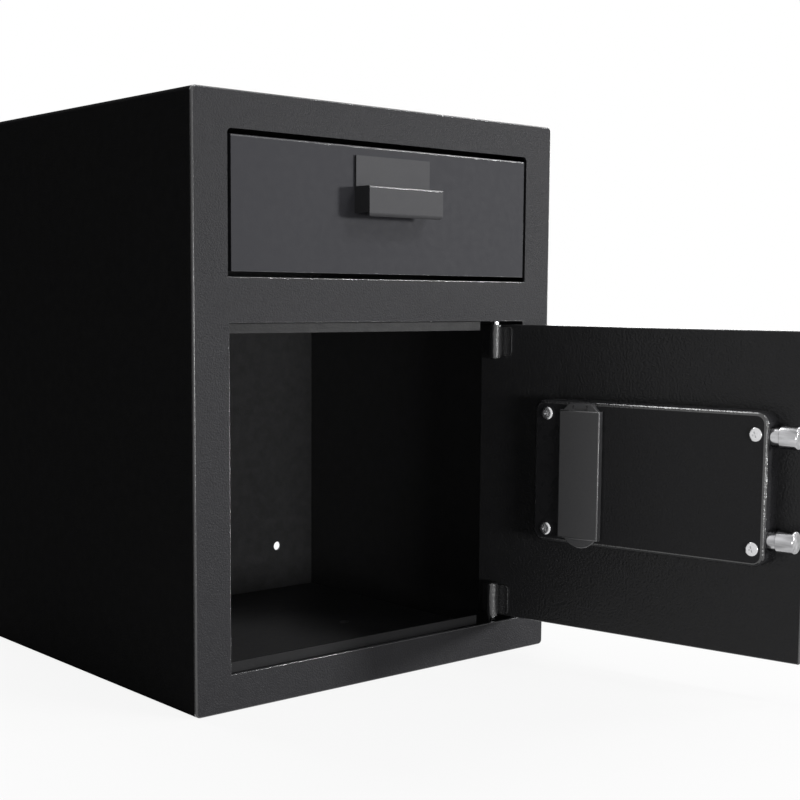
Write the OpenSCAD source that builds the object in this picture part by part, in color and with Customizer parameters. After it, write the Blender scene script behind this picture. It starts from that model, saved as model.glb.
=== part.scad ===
// Front-loading drop safe with a deposit drawer, millimetres, +Z up.
// The origin is the middle of the base. The front faces -Y and the door is hinged at +X.

/* [Body] */
// Width of the body
body_w = 400; // [390:1:430]
// Depth of the body, front face to back face
body_d = 375; // [365:1:450]
// Height of the body
body_h = 500; // [498:1:540]
// Thickness of the body sheet and of the front frame
sheet_t = 3; // [2.5:0.1:3.4]
// Diameter of the anchor holes
anchor_d = 10; // [8:0.5:14]
// Distance between the two anchor holes in the back
back_anchor_pitch = 296; // [240:1:320]
// Height of the back anchor holes above the base
back_anchor_z = 52; // [40:1:80]
// Distance between the two anchor holes in the floor
floor_anchor_pitch = 200; // [150:1:260]

/* [Front frame] */
// Width of the frame's left and right stiles
stile_w = 34; // [30:0.5:38]
// Height of the sill below the door opening
sill_h = 31; // [29:0.5:36]
// Height of the rail between the door and the drawer
mid_rail_h = 37; // [36:0.5:42]
// Height of the drawer opening
drawer_open_h = 116; // [104:1:120]
// Height of the rail above the drawer
top_rail_h = 30; // [26:0.5:36]
// Radius of the drawer opening's upper corners
drawer_open_r = 4; // [1:0.5:6]
// How far the drawer opening is wider than the door opening at each side
drawer_open_out = 1.5; // [0:0.25:2]

/* [Door] */
// Thickness of the door plate
door_t = 6; // [5:0.25:6.5]
// Gap between the door's long edges and the opening
door_side_gap = 2; // [1.75:0.25:3]
// Gap above and below the door
door_end_gap = 3; // [2:0.25:4]
// Angle at which the door stands open
door_angle = 101.5; // [90:0.5:110]
// How far the closed door's inner face is from the stops
stop_clear = 0.5; // [0.3:0.1:1]
// How far the stops overlap the door's edge
stop_lap = 5.3; // [3:0.1:8]

/* [Hinges] */
// Distance from the opening's edge to the pin's axis
pin_inset = 23; // [23:0.5:26]
// Distance from the front face back to the pin's axis
pin_back = 13; // [12.5:0.25:14]
// Diameter of the hinge pins
pin_d = 7; // [6:0.25:8]
// Radial running clearance of pins, bolts and spindle
run_clear = 0.05; // [0.02:0.01:0.1]
// Outer diameter of the hinge barrels
barrel_d = 11.5; // [10.5:0.25:12]
// Length of the hinge barrels
barrel_len = 33; // [28:1:40]
// Width of the leaf that is welded to the door
leaf_w = 30; // [26:1:34]
// Height of the leaf
leaf_h = 28; // [24:1:30]

/* [Lock cover] */
// Height of the lock cover
cover_h = 130; // [128:1:150]
// Depth of the lock cover
cover_depth = 24; // [23.5:0.25:28]
// Wall of the lock cover
cover_wall = 1.5; // [1:0.1:1.8]
// Corner radius of the lock cover
cover_r = 10; // [6:0.5:14]
// Distance from the door's latch edge to the cover
cover_inset = 24.5; // [24.5:0.5:28]
// Height of the cover's middle above the door's lower edge
cover_mid = 148; // [140:1:160]
// Distance from the cover's latch side to the spindle
spindle_inset = 91.5; // [90:0.5:100]
// Distance from the spindle to the override lock
lock_pitch = 46.5; // [45:0.5:56]
// Distance from the override lock to the battery bay
lock_bay_gap = 19.5; // [18:0.5:26]
// Diameter of the cover screws' heads
cover_screw_head_d = 11.5; // [9:0.5:12]

/* [Battery bay] */
// Diameter of a battery cell
cell_d = 14.2; // [13.8:0.1:14.5]
// Length of a battery cell without its nub
cell_len = 49.5; // [48:0.25:50]
// Wall of the battery box
bay_wall = 1.5; // [1:0.1:1.8]
// Width of the bay's hole in the lock cover
bay_w = 37; // [36:0.5:38]
// Distance from the bay to the cover's hinge-side wall
bay_inset = 32.5; // [30:0.5:34]
// How far the battery cover stands off the lock cover
lid_rise = 6; // [5:0.25:8]
// How far the battery cover laps the bay on each side
lid_lap = 2.2; // [2:0.1:3]
// How far the battery cover laps the bay's lower end
lid_low_lap = 4.3; // [3:0.1:6]
// How far the battery cover laps the bay's upper end
lid_top_lap = 2.5; // [2:0.1:3]
// Diameter of the battery cover's finger lip
lid_lip_d = 40; // [24:1:40]
// How far the finger lip stands out of the cover's end
lid_lip_out = 8.4; // [5:0.1:9]

/* [Bolts] */
// Diameter of a bolt's head
bolt_d = 20; // [18:0.5:20]
// Length of a bolt's head
bolt_head_len = 16; // [14:0.5:18]
// Diameter of a bolt's neck
bolt_neck_d = 16; // [13:0.5:16]
// Distance between the two bolts
bolt_pitch = 87; // [84:1:89]
// Distance from the door's inner face to the bolts' axes
bolt_rise = 12; // [11.5:0.25:12.25]
// How far the bolts are thrown
bolt_throw = 18; // [14:0.5:18]
// How far the drawn bolts stop short of the door's edge
bolt_tip_inset = 0.5; // [0.5:0.25:3]
// Thickness of the bolt carriage's sheet
carriage_t = 3; // [2:0.25:3]

/* [Keypad and knob] */
// Width of the keypad housing
pad_w = 150; // [146:1:170]
// Height of the keypad housing
pad_h = 108; // [104:1:130]
// Depth of the keypad housing
pad_depth = 14; // [13:0.5:18]
// Wall of the keypad housing
pad_wall = 2.5; // [1.5:0.1:3]
// Side of a square key
key_side = 11; // [9:0.25:12]
// Pitch of the keys
key_pitch = 15; // [14.5:0.25:16]
// How far a key travels
key_travel = 1; // [0.5:0.1:1.2]
// Diameter of the knob
knob_d = 34; // [28:1:38]
// Length of the knob
knob_len = 22; // [16:1:30]
// Diameter of the knob's spindle
spindle_d = 8; // [6:0.5:8]
// Diameter of the override lock's barrel
override_d = 16; // [14:0.5:16]

/* [Drawer] */
// Gap at each side of the drawer's front
drawer_side_gap = 3.3; // [2:0.1:4]
// Gap above and below the drawer's front
drawer_end_gap = 4.2; // [3:0.1:5]
// Thickness of the drawer's front and its handle
drawer_front_t = 2; // [1.5:0.1:2.5]
// Depth of the drawer tray, from the front face
tray_len = 300; // [280:1:320]
// Thickness of the tray's sheet
tray_t = 1.5; // [1:0.1:2]
// How far the drawer pulls out
drawer_travel = 165; // [120:1:165]
// Width of the handle
handle_w = 83; // [70:1:120]
// How far the handle stands out
handle_out = 20; // [16:1:30]
// Height of the handle's plate on the drawer
handle_plate_h = 28; // [20:1:32]
// Height of the handle's lip
handle_lip_h = 26; // [20:1:30]
// Offset of the handle from the drawer's middle
handle_offset = 2.5; // [0:0.5:6]
// Outer height of the drawer's runners
runner_h = 20; // [16:0.5:24]
// Clearance between a drawer rail and its runner
runner_clear = 0.3; // [0.2:0.05:0.6]

/* [Hidden] */

// Facets of a full circle
$fn = 48;
// Length by which a cutter overshoots a face
over = 1;

// Faces and edges of the body
x_left = -body_w / 2;
y_front = -body_d / 2;
y_back = body_d / 2;
y_frame = y_front + sheet_t;
open_x0 = x_left + stile_w;
open_x1 = -open_x0;
door_z0 = sill_h;
door_z1 = body_h - top_rail_h - drawer_open_h - mid_rail_h;
door_open_h = door_z1 - door_z0;
drawer_x0 = open_x0 - drawer_open_out;
drawer_x1 = -drawer_x0;
drawer_z0 = door_z1 + mid_rail_h;
drawer_z1 = drawer_z0 + drawer_open_h;

// Door plate in its closed place, and the axis of its pins
door_w = open_x1 - open_x0 - 2 * door_side_gap;
door_h = door_open_h - 2 * door_end_gap;
pin_x = open_x1 - pin_inset;
pin_y = y_front + pin_back;
pin_rise = pin_back - door_t;
pin_u = door_w + door_side_gap - pin_inset;
swing_r = norm([pin_inset - door_side_gap, pin_back]);

// Stops, strike and lugs behind the frame
stop_t = 2;
stop_leaf_h = 26;
stop_end_gap = 2;
stop_step = 2;
stop_over = 10;
stop_x0 = open_x0 - stop_over;
stop_x1 = pin_x - swing_r - stop_end_gap;
stop_y = y_front + door_t + stop_clear;
strike_edge_gap = 1;
strike_bolt_gap = 0.5;
strike_low = 14;
strike_high = 16;
strike_x0 = x_left + 2 * sheet_t;
strike_x1 = open_x0 - strike_edge_gap;
strike_y1 = y_front + door_t + bolt_rise - bolt_d / 2 - strike_bolt_gap;
strike_z0 = door_z0 + strike_low;
strike_z1 = door_z1 - strike_high;
lug_t = 4;
lug_gap = 3;
lug_leaf_h = 25;
lug_drop = 7;
lug_past = 2;
lug_reach = pin_back - sheet_t + barrel_d / 2 + lug_past;
pin_head_d = 10;
pin_head_t = 3;
pin_fit = 0.02;
barrel_end_t = 7;
pin_short = 2;
blind_depth = barrel_len - barrel_end_t;
dome_t = 2;
leaf_t = 2;
leaf_r = 4;
leaf_end_gap = 2;

// Lock cover and what it holds, in the door's own frame
cover_u0 = cover_inset;
spindle_u = cover_u0 + spindle_inset;
override_u = spindle_u + lock_pitch;
bay_u0 = override_u + lock_bay_gap;
bay_u1 = bay_u0 + bay_w;
cover_u1 = bay_u1 + bay_inset;
cover_v0 = cover_mid - cover_h / 2;
cover_v1 = cover_mid + cover_h / 2;
cover_in = cover_depth - cover_wall;
work_mid = cover_mid + 1;
screw_latch_in = 10;
screw_latch_end = 17;
screw_hinge_in = 15;
screw_hinge_end = 12;
screw_latch_u = cover_u0 + screw_latch_in;
screw_latch_v = cover_h / 2 - screw_latch_end;
screw_latch_drop = 1.6;
screw_hinge_u = cover_u1 - screw_hinge_in;
screw_hinge_v = cover_h / 2 - screw_hinge_end;
screw_d = 4;
screw_clear = 0.05;
screw_hole_d = screw_d + 0.5;
screw_rim_t = 1.6;
screw_dome_t = 1;
screw_dome_in = 2;
screw_cross = [4.8, 1.4, 1];
screw_cross_turn = 20;
post_d = 8;

// Battery bay
contact_len = 2.5;
contact_side = 10;
contact_t = 0.4;
contact_d = 4;
nub_len = 1;
nub_d = 5.5;
box_fit = 0.3;
box_len = 2 * (cell_len + nub_len + contact_len) + 2 * bay_wall;
bay_v0 = cover_mid - box_len / 2 - box_fit;
bay_v1 = cover_mid + box_len / 2 + box_fit;
rim_t = 1;
rim_lap = 0.8;
cell_sink = 2;
cell_seat_gap = 0.3;
box_floor = cover_in - cell_d - cell_sink - bay_wall;
cell_rise = box_floor + bay_wall + cell_d / 2 + cell_seat_gap;
cell_gap = 1.5;
lid_wall = 1;
lid_bevel = 0.6;
lid_tab_inset = 9.4;
lid_tab_len = 6.7;
lid_lip_t = 2;
lid_slot = [14, 3.5, 2.4];
lid_slot_gap = 0.4;

// Bolt work
guide_t = 3;
guide_wall_gap = 2;
guide_u = cover_u0 + cover_wall + guide_wall_gap;
guide_flange = 14;
guide_top_t = 1.9;
guide_foot_t = 2;
guide_end_gap = 3;
guide_foot_in = 20;
carriage_back = 54;
carriage_u0 = spindle_u - carriage_back;
carriage_rise = 3;
carriage_flange = 18;
carriage_half = 55;
carriage_v0 = work_mid - carriage_half;
carriage_v1 = work_mid + carriage_half;
carriage_drop = 33;
carriage_foot = 14;
carriage_step_v = work_mid - carriage_drop;
carriage_foot_u = carriage_u0 + carriage_foot;
nut_flat = 22;
nut_t = 3.5;
nut_gap = 1.8;
carriage_u1 = override_u - nut_flat / cos(30) / 2 - nut_gap;
bolt_tap_d = 6;
bolt_tap_len = 14;
bolt_screw_head_t = 4;
bolt_screw_head_d = 10;
bolt_hole_d = bolt_tap_d + 0.5;
bolt_thread_gap = 0.05;
bolt_nose = 1;
cam_d = 36;
cam_t = 3;
cam_gap = 1;
cam_rise = carriage_rise + carriage_t + cam_gap;
cam_pin_d = 5;
cam_pin_r = bolt_throw / 2 / sin(45);
cam_slot_clear = 0.6;
cam_hub_d = 16;
cam_hub_t = 4;
spindle_slot_clear = 0.3;
stud_d = 6;
stud_head_d = 11;
stud_slot_clear = 0.3;
stud_seat_gap = 0.1;
stud_head_gap = 0.3;
stud_head_t = 1.7;
stud_root_t = carriage_rise - stud_seat_gap;
stud_shoulder = carriage_rise + carriage_t + stud_head_gap;
stud_near = 20;
stud_far = 67;
stud_up = 29;
stud_down = 25;
stud_places = [[carriage_u0 + stud_near, stud_up], [carriage_u0 + stud_near, -stud_down],
    [carriage_u0 + stud_far, stud_up]];

// Solenoid under the carriage, and the holes its plunger drops into
sol_u = spindle_u;
sol_w = 24;
sol_depth = 18;
sol_rise = 2;
sol_gap = 0.5;
sol_v0 = cover_v0 + cover_wall + sol_gap;
sol_h = 14;
sol_plate_t = 2;
sol_coil_in = 1;
plunger_clear = 0.1;
plunger_seat_gap = 0.5;
plunger_d = 7;
plunger_rise = 11;
plunger_throw = 4;
plunger_tip_gap = 0.5;
plunger_seat = 4;
plunger_v0 = sol_v0 + plunger_seat;
plunger_v1 = carriage_step_v - carriage_t - plunger_tip_gap;
plunger_tip_d = 6;
collar_d = 10;
collar_t = 1.5;
collar_past = 0.4;
collar_v1 = plunger_v1 - plunger_throw + collar_past;
blocker_side = 17;
blocker_u0 = sol_u - blocker_side;
blocker_depth = 15;
blocker_hole_d = 8;
spring_turns = 4;
spring_wire = 0.8;
spring_r = 4.6;
spring_v0 = sol_v0 + sol_h;
spring_v1 = collar_v1 - collar_t;
spring_steps = 10;
spring_sides = 6;

// Circuit board and the cable through the door
board_t = 1.6;
board_sol_gap = 18;
board_bay_gap = 3;
board_wall_gap = 1.5;
board_top_gap = 1;
board_u0 = sol_u + board_sol_gap;
board_u1 = bay_u0 - board_bay_gap;
board_v0 = cover_v0 + cover_wall + board_wall_gap;
board_v1 = carriage_step_v - carriage_t - board_top_gap;
board_rise = 3;
board_foot_d = 5;
board_feet = [5, 12, 4];
chip_low = [8, 9];
chip_size = [12, 2, 8];
plug_low = [23, 8];
plug_size = [5, 6, 10];
cable_d = 4;
cable_hole_d = 8;
cable_side = 5;
cable_end = 4;
cable_u = board_u1 - cable_side;
cable_v = board_v1 - cable_end;

// Keypad housing on the door's outer side, with its keys, lamps, knob and override lock
pad_v = work_mid;
pad_r = 10;
knob_gap = 0.5;
knob_skirt_t = 5;
knob_core_d = 18.7;
knob_grip_t = 7;
knob_grip_in = 1;
knob_face_t = 6;
pad_front = -door_t - pad_depth;
keys_edge = 12;
keys_drop = 10;
override_side = 10.5;
keys_u = override_u + override_side + key_side / 2 + key_pitch;
keys_v = pad_v - keys_drop;
pad_u = keys_u + key_pitch + key_side / 2 + keys_edge - pad_w / 2;
key_proud = 1.8;
key_clear = 0.4;
key_skirt = 1;
key_skirt_t = 1.2;
key_stem_d = 5;
pad_board_gap = 6;
pad_board_rise = -door_t - pad_board_gap;
pad_boss_d = 4;
pad_boss_out = key_side / 2 + key_skirt + pad_boss_d / 2 + 0.5;
lamp_d = 4;
lamp_proud = 0.8;
lamp_flange = 1;
lamp_gap = 2.5;
lamp_v = keys_v + 2.5 * key_pitch + lamp_gap;
override_up = 9;
override_v = lamp_v + override_up;
override_end = 12;
override_clear = 0.1;
plug_d = 9;
plug_slot = [2, 16, 6];
plug_sink = 1.5;
tail_len = 14;
tail_w = 7;
tail_t = 2;
tail_gap = 0.3;
cap_d = 24;
cap_t = 2;
cap_pivot_rise = 10.2;
cap_pin_d = 3;
cap_gap = 0.2;

// Drawer, its tray and its runners
face_x0 = drawer_x0 + drawer_side_gap;
face_x1 = -face_x0;
face_z0 = drawer_z0 + drawer_end_gap;
face_z1 = drawer_z1 - drawer_end_gap;
face_return = 14;
tray_side_in = 10;
tray_low_in = 3;
tray_top_in = 11.8;
tray_x0 = open_x0 + tray_side_in;
tray_x1 = -tray_x0;
tray_z0 = face_z0 + tray_low_in;
tray_z1 = face_z1 - tray_top_in;
tray_y0 = y_front + drawer_front_t;
tray_y1 = y_front + tray_len;
floor_rise = 30;
floor_rest = 7;
floor_len = drawer_travel + floor_rest;
handle_drop = 8.2;
handle_r = 4;
baffle_t = 2;
baffle_gap = 1;
baffle_z1 = drawer_z0 - baffle_gap;
baffle_lap = 4;
baffle_y1 = y_front + floor_len - baffle_lap;
baffle_flange = 7;
tooth_pitch = 14;
tooth_root = 8;
tooth_h = 12;
runner_t = 1.5;
rail_stop_gap = 0.3;
runner_tray_gap = 1.5;
runner_lift = 38;
runner_face_gap = 6;
rail_side_gap = 0.7;
rail_inset = 2;
rail_x0 = open_x0 + rail_side_gap;
runner_x1 = tray_x0 - runner_tray_gap;
runner_x0 = rail_x0 - rail_inset - runner_t;
runner_z = tray_z0 + runner_lift;
runner_y0 = y_front + face_return + runner_face_gap;
runner_y1 = tray_y1 + rail_stop_gap + runner_t;
runner_foot = 18;
rail_lead = 5;
rail_y0 = runner_y0 + rail_lead;

// Carries children from the closed door's place to the open one
module swung() {
    translate([pin_x, pin_y, 0]) rotate([0, 0, door_angle]) translate([-pin_x, -pin_y, 0]) children();
}

// The door's own frame: u from the latch edge, h inwards from the inner face, v up from the lower edge
module on_door() {
    swung() translate([open_x0 + door_side_gap, y_front + door_t, door_z0 + door_end_gap]) children();
}

// Round bar along h
module bar_h(d, h0, h1) {
    translate([0, h0, 0]) rotate([-90, 0, 0]) cylinder(d = d, h = h1 - h0);
}

// Round bar along u
module bar_u(d, u0, u1) {
    translate([u0, 0, 0]) rotate([0, 90, 0]) cylinder(d = d, h = u1 - u0);
}

// Block given by its two far corners
module block(low, high) {
    translate(low) cube([high[0] - low[0], high[1] - low[1], high[2] - low[2]]);
}

// Block with corners rounded in the u-v plane
module rounded_block(low, high, r) {
    block([low[0] + r, low[1], low[2]], [high[0] - r, high[1], high[2]]);
    block([low[0], low[1], low[2] + r], [high[0], high[1], high[2] - r]);
    for (u = [low[0] + r, high[0] - r], v = [low[2] + r, high[2] - r])
        translate([u, 0, v]) bar_h(2 * r, low[1], high[1]);
}

// Slab whose upper face is smaller all round
module bevelled_slab(low, high, inset) {
    hull() {
        block(low, [high[0], low[1] + inset, high[2]]);
        block([low[0] + inset, high[1] - inset, low[2] + inset],
            [high[0] - inset, high[1], high[2] - inset]);
    }
}

// Top, bottom and side walls, open at the front and at the back
module body_shell() {
    color("#1b1b1d") difference() {
        block([x_left, y_frame, 0], [-x_left, y_back - sheet_t, body_h]);
        block([x_left + sheet_t, y_frame - over, sheet_t], [-x_left - sheet_t, y_back, body_h - sheet_t]);
        for (side = [-1, 1]) translate([side * floor_anchor_pitch / 2, 0, -over])
            cylinder(d = anchor_d, h = sheet_t + 2 * over);
    }
}

// Rear wall with the two holes that anchor the safe to a wall
module back_panel() {
    color("#1b1b1d") difference() {
        block([x_left, y_back - sheet_t, 0], [-x_left, y_back, body_h]);
        for (side = [-1, 1]) translate([side * back_anchor_pitch / 2, 0, back_anchor_z])
            bar_h(anchor_d, y_back - sheet_t - over, y_back + over);
    }
}

// Face plate with the drawer opening above the door opening
module front_frame() {
    r = drawer_open_r;
    color("#464648") difference() {
        block([x_left, y_front, 0], [-x_left, y_frame, body_h]);
        block([open_x0, y_front - over, door_z0], [open_x1, y_frame + over, door_z1]);
        block([drawer_x0, y_front - over, drawer_z0], [drawer_x1, y_frame + over, drawer_z1 - r]);
        block([drawer_x0 + r, y_front - over, drawer_z0], [drawer_x1 - r, y_frame + over, drawer_z1]);
        for (x = [drawer_x0 + r, drawer_x1 - r]) translate([x, 0, drawer_z1 - r])
            bar_h(2 * r, y_front - over, y_frame + over);
    }
}

// Stepped strip along the opening: a leaf on the frame's back, a step, and the stop itself
module door_stop(edge_z, up) {
    lap_z = edge_z - up * (door_end_gap + stop_lap);
    step_z = edge_z + up * stop_step;
    leaf_z = step_z + up * stop_leaf_h;
    difference() {
        block([stop_x0, y_frame, min(lap_z, leaf_z)], [stop_x1, stop_y + stop_t, max(lap_z, leaf_z)]);
        block([stop_x0 - over, y_frame + stop_t, min(step_z + up * stop_t, leaf_z + up)],
            [stop_x1 + over, stop_y + stop_t + over, max(step_z + up * stop_t, leaf_z + up)]);
        block([stop_x0 - over, y_frame - over, min(lap_z - up, step_z)],
            [stop_x1 + over, stop_y, max(lap_z - up, step_z)]);
    }
}

module door_stop_top() {
    color("#2a2a2c") door_stop(door_z1, 1);
}

module door_stop_bottom() {
    color("#2a2a2c") door_stop(door_z0, -1);
}

// Bar behind the left stile that the thrown bolts bear against
module latch_strike() {
    color("#2a2a2c") block([strike_x0, y_frame, strike_z0], [strike_x1, strike_y1, strike_z1]);
}

// Angle bracket with the hole of a hinge pin; its tab lies at tab_z and its leaf goes up or down
module hinge_lug(tab_z, up, leaf_len) {
    leaf_end = tab_z + up * leaf_len;
    tab_end = tab_z + up * lug_t;
    x0 = pin_x - leaf_w / 2;
    x1 = pin_x + leaf_w / 2;
    difference() {
        union() {
            block([x0, y_frame, min(tab_z, leaf_end)], [x1, y_frame + sheet_t, max(tab_z, leaf_end)]);
            block([x0, y_frame, min(tab_z, tab_end)], [x1, y_frame + lug_reach, max(tab_z, tab_end)]);
        }
        translate([pin_x, pin_y, min(tab_z, tab_end) - over])
            cylinder(d = pin_d + 2 * pin_fit, h = lug_t + 2 * over);
    }
}

module hinge_lug_top() {
    color("#2a2a2c") hinge_lug(door_z1 + lug_gap, 1, lug_leaf_h);
}

// Its leaf is short, so that it ends on the floor
module hinge_lug_bottom() {
    tab_z = door_z0 - lug_drop;
    color("#2a2a2c") hinge_lug(tab_z, -1, tab_z - sheet_t);
}

// Drops through the upper lug into the upper barrel
module hinge_pin_top() {
    seat_z = door_z1 + lug_gap + lug_t;
    low_z = door_z1 - door_end_gap - barrel_len + pin_short;
    color("silver") translate([pin_x, pin_y, 0]) {
        translate([0, 0, low_z]) cylinder(d = pin_d, h = seat_z - low_z);
        translate([0, 0, seat_z]) cylinder(d = pin_head_d, h = pin_head_t);
    }
}

// Stands in the lower lug and carries the door on its upper end
module hinge_pin_bottom() {
    seat_z = door_z0 - lug_drop - lug_t;
    top_z = door_z0 + door_end_gap + blind_depth;
    color("silver") translate([pin_x, pin_y, 0]) {
        translate([0, 0, seat_z]) cylinder(d = pin_d, h = top_z - seat_z);
        translate([0, 0, seat_z - pin_head_t]) cylinder(d = pin_head_d, h = pin_head_t);
    }
}

// Plate under the drawer, with a toothed rear edge turned down
module fish_baffle() {
    x0 = x_left + sheet_t;
    x1 = -x0;
    teeth = floor((x1 - x0) / tooth_pitch);
    pitch = (x1 - x0) / teeth;
    color("#2a2a2c") {
        block([x0, y_frame, baffle_z1 - baffle_t], [x1, baffle_y1, baffle_z1]);
        block([x0, y_frame, baffle_z1 - baffle_flange], [x1, y_frame + baffle_t, baffle_z1]);
        translate([0, baffle_y1, 0]) rotate([90, 0, 0]) linear_extrude(height = baffle_t)
            polygon(concat([[x0, baffle_z1]],
                [for (k = [0:teeth - 1], p = [[0, 0], [0.5, 1]])
                    [x0 + (k + p[0]) * pitch, baffle_z1 - tooth_root - p[1] * tooth_h]],
                [[x1, baffle_z1 - tooth_root], [x1, baffle_z1]]));
    }
}

// Channel that opens towards the drawer, with a foot at each end and a stop behind the rail
module runner() {
    z0 = runner_z - runner_h / 2;
    z1 = runner_z + runner_h / 2;
    y_rear = y_back - sheet_t;
    block([runner_x0, y_frame, z0], [runner_x0 + runner_t, y_rear, z1]);
    block([runner_x0, runner_y0, z0], [runner_x1, runner_y1, z0 + runner_t]);
    block([runner_x0, runner_y0, z1 - runner_t], [runner_x1, runner_y1, z1]);
    block([runner_x0, runner_y1 - runner_t, z0], [runner_x1, runner_y1, z1]);
    block([runner_x0 - runner_foot, y_frame, z0], [runner_x0 + runner_t, y_frame + runner_t, z1]);
    block([runner_x0 - runner_foot, y_rear - runner_t, z0], [runner_x0 + runner_t, y_rear, z1]);
}

module runner_left() {
    color("silver") runner();
}

module runner_right() {
    color("silver") mirror([1, 0, 0]) runner();
}

// Plate of the door, drilled for the spindle, the override lock and the cable
module door_plate() {
    color("#242426") on_door() difference() {
        block([0, -door_t, 0], [door_w, 0, door_h]);
        translate([spindle_u, 0, work_mid]) bar_h(spindle_d + 2 * run_clear, -door_t - over, over);
        translate([override_u, 0, override_v]) bar_h(override_d + 2 * override_clear, -door_t - over, over);
        translate([cable_u, 0, cable_v]) bar_h(cable_hole_d, -door_t - over, over);
    }
}

// Leaf with rounded corners and the saddle of its barrel
module hinge_leaf(low_v) {
    u0 = pin_u - leaf_w / 2;
    rounded_block([u0, 0, low_v], [u0 + leaf_w, leaf_t, low_v + leaf_h], leaf_r);
    block([pin_u - barrel_d / 4, 0, low_v + over], [pin_u + barrel_d / 4, pin_rise, low_v + leaf_h - over]);
}

// Upper bracket: an open barrel
module hinge_bracket_top() {
    low_v = door_h - barrel_len;
    color("#3a3a3c") on_door() difference() {
        union() {
            hinge_leaf(door_h - leaf_h - leaf_end_gap);
            translate([pin_u, pin_rise, low_v])
                cylinder(d1 = barrel_d - 2 * dome_t, d2 = barrel_d, h = dome_t);
            translate([pin_u, pin_rise, low_v + dome_t]) cylinder(d = barrel_d, h = barrel_len - dome_t);
        }
        translate([pin_u, pin_rise, low_v - over])
            cylinder(d = pin_d + 2 * run_clear, h = barrel_len + 2 * over);
    }
}

// Lower bracket: a barrel with a closed, domed top that rests on the pin's end
module hinge_bracket_bottom() {
    color("#3a3a3c") on_door() difference() {
        union() {
            hinge_leaf(leaf_end_gap);
            translate([pin_u, pin_rise, 0]) cylinder(d = barrel_d, h = barrel_len - dome_t);
            translate([pin_u, pin_rise, barrel_len - dome_t])
                cylinder(d1 = barrel_d, d2 = barrel_d - 2 * dome_t, h = dome_t);
        }
        translate([pin_u, pin_rise, -over]) cylinder(d = pin_d + 2 * run_clear, h = blind_depth + over);
    }
}

// Pressed cover over the lock, open towards the door
module lock_cover() {
    w = cover_wall;
    color("#242426") on_door() difference() {
        rounded_block([cover_u0, 0, cover_v0], [cover_u1, cover_depth, cover_v1], cover_r);
        rounded_block([cover_u0 + w, -over, cover_v0 + w], [cover_u1 - w, cover_in, cover_v1 - w],
            cover_r - w);
        for (side = [-1, 1]) {
            translate([cover_u0 - over, bolt_rise, work_mid + side * bolt_pitch / 2])
                bar_u(bolt_neck_d + 1, 0, w + 2 * over);
            translate([screw_latch_u, 0, cover_mid - screw_latch_drop + side * screw_latch_v])
                bar_h(screw_hole_d, cover_in - over, cover_depth + over);
            translate([screw_hinge_u, 0, cover_mid + side * screw_hinge_v])
                bar_h(screw_hole_d, cover_in - over, cover_depth + over);
        }
        block([bay_u0, cover_in - over, bay_v0], [bay_u1, cover_depth + over, bay_v1]);
    }
}

// Two threaded posts that hold the cover's hinge side
module cover_posts() {
    color("silver") on_door() for (side = [-1, 1])
        translate([screw_hinge_u, 0, cover_mid + side * screw_hinge_v]) difference() {
            bar_h(post_d, 0, cover_in);
            bar_h(screw_d, cover_in / 2 - over, cover_in + over);
        }
}

// Pan-head screw with a cross recess
module pan_screw(tip_h) {
    rim = cover_depth + screw_rim_t;
    top = rim + screw_dome_t;
    half = screw_cross / 2;
    difference() {
        union() {
            bar_h(cover_screw_head_d, cover_depth, rim);
            translate([0, rim, 0]) rotate([-90, 0, 0]) cylinder(d1 = cover_screw_head_d,
                d2 = cover_screw_head_d - 2 * screw_dome_in, h = screw_dome_t);
            bar_h(screw_d - 2 * screw_clear, tip_h, cover_depth);
        }
        for (turn = [0, 90]) rotate([0, turn + screw_cross_turn, 0])
            block([-half[0], top - screw_cross[1], -half[2]], [half[0], top + over, half[2]]);
    }
}

// Short screws into the bolt guide at the latch side, long ones into the posts
module cover_screws() {
    color("silver") on_door() for (side = [-1, 1]) {
        translate([screw_latch_u, 0, cover_mid - screw_latch_drop + side * screw_latch_v])
            pan_screw(cover_in - guide_top_t);
        translate([screw_hinge_u, 0, cover_mid + side * screw_hinge_v]) pan_screw(cover_in / 2);
    }
}

// Tray for four cells, hung in the cover's hole by its rim
module battery_box() {
    u0 = bay_u0 + box_fit;
    u1 = bay_u1 - box_fit;
    v0 = bay_v0 + box_fit;
    v1 = bay_v1 - box_fit;
    mid_u = (u0 + u1) / 2;
    color("#303032") on_door() difference() {
        union() {
            block([u0, box_floor, v0], [u1, cover_depth + rim_t, v1]);
            block([bay_u0 - rim_lap, cover_depth, bay_v0 - rim_lap],
                [bay_u1 + rim_lap, cover_depth + rim_t, bay_v1 + rim_lap]);
        }
        for (half = [[u0 + bay_wall, mid_u - cell_gap / 2], [mid_u + cell_gap / 2, u1 - bay_wall]])
            block([half[0], box_floor + bay_wall, v0 + bay_wall],
                [half[1], cover_depth + rim_t + over, v1 - bay_wall]);
    }
}

// Middle of a column of cells
function column_u(side) = (bay_u0 + bay_u1) / 2
    + side * ((bay_w - 2 * box_fit - 2 * bay_wall - cell_gap) / 4 + cell_gap / 2);

// Four cells in two columns, the columns turned opposite ways
module battery_cells() {
    color("#c8962c") on_door() for (side = [-1, 1], row = [0, 1])
        translate([column_u(side), cell_rise, cover_mid]) scale([1, 1, side])
            translate([0, 0, (row == 0 ? -1 : 0) * (cell_len + nub_len)]) {
                cylinder(d = cell_d, h = cell_len);
                translate([0, 0, cell_len]) cylinder(d = nub_d, h = nub_len);
            }
}

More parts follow.
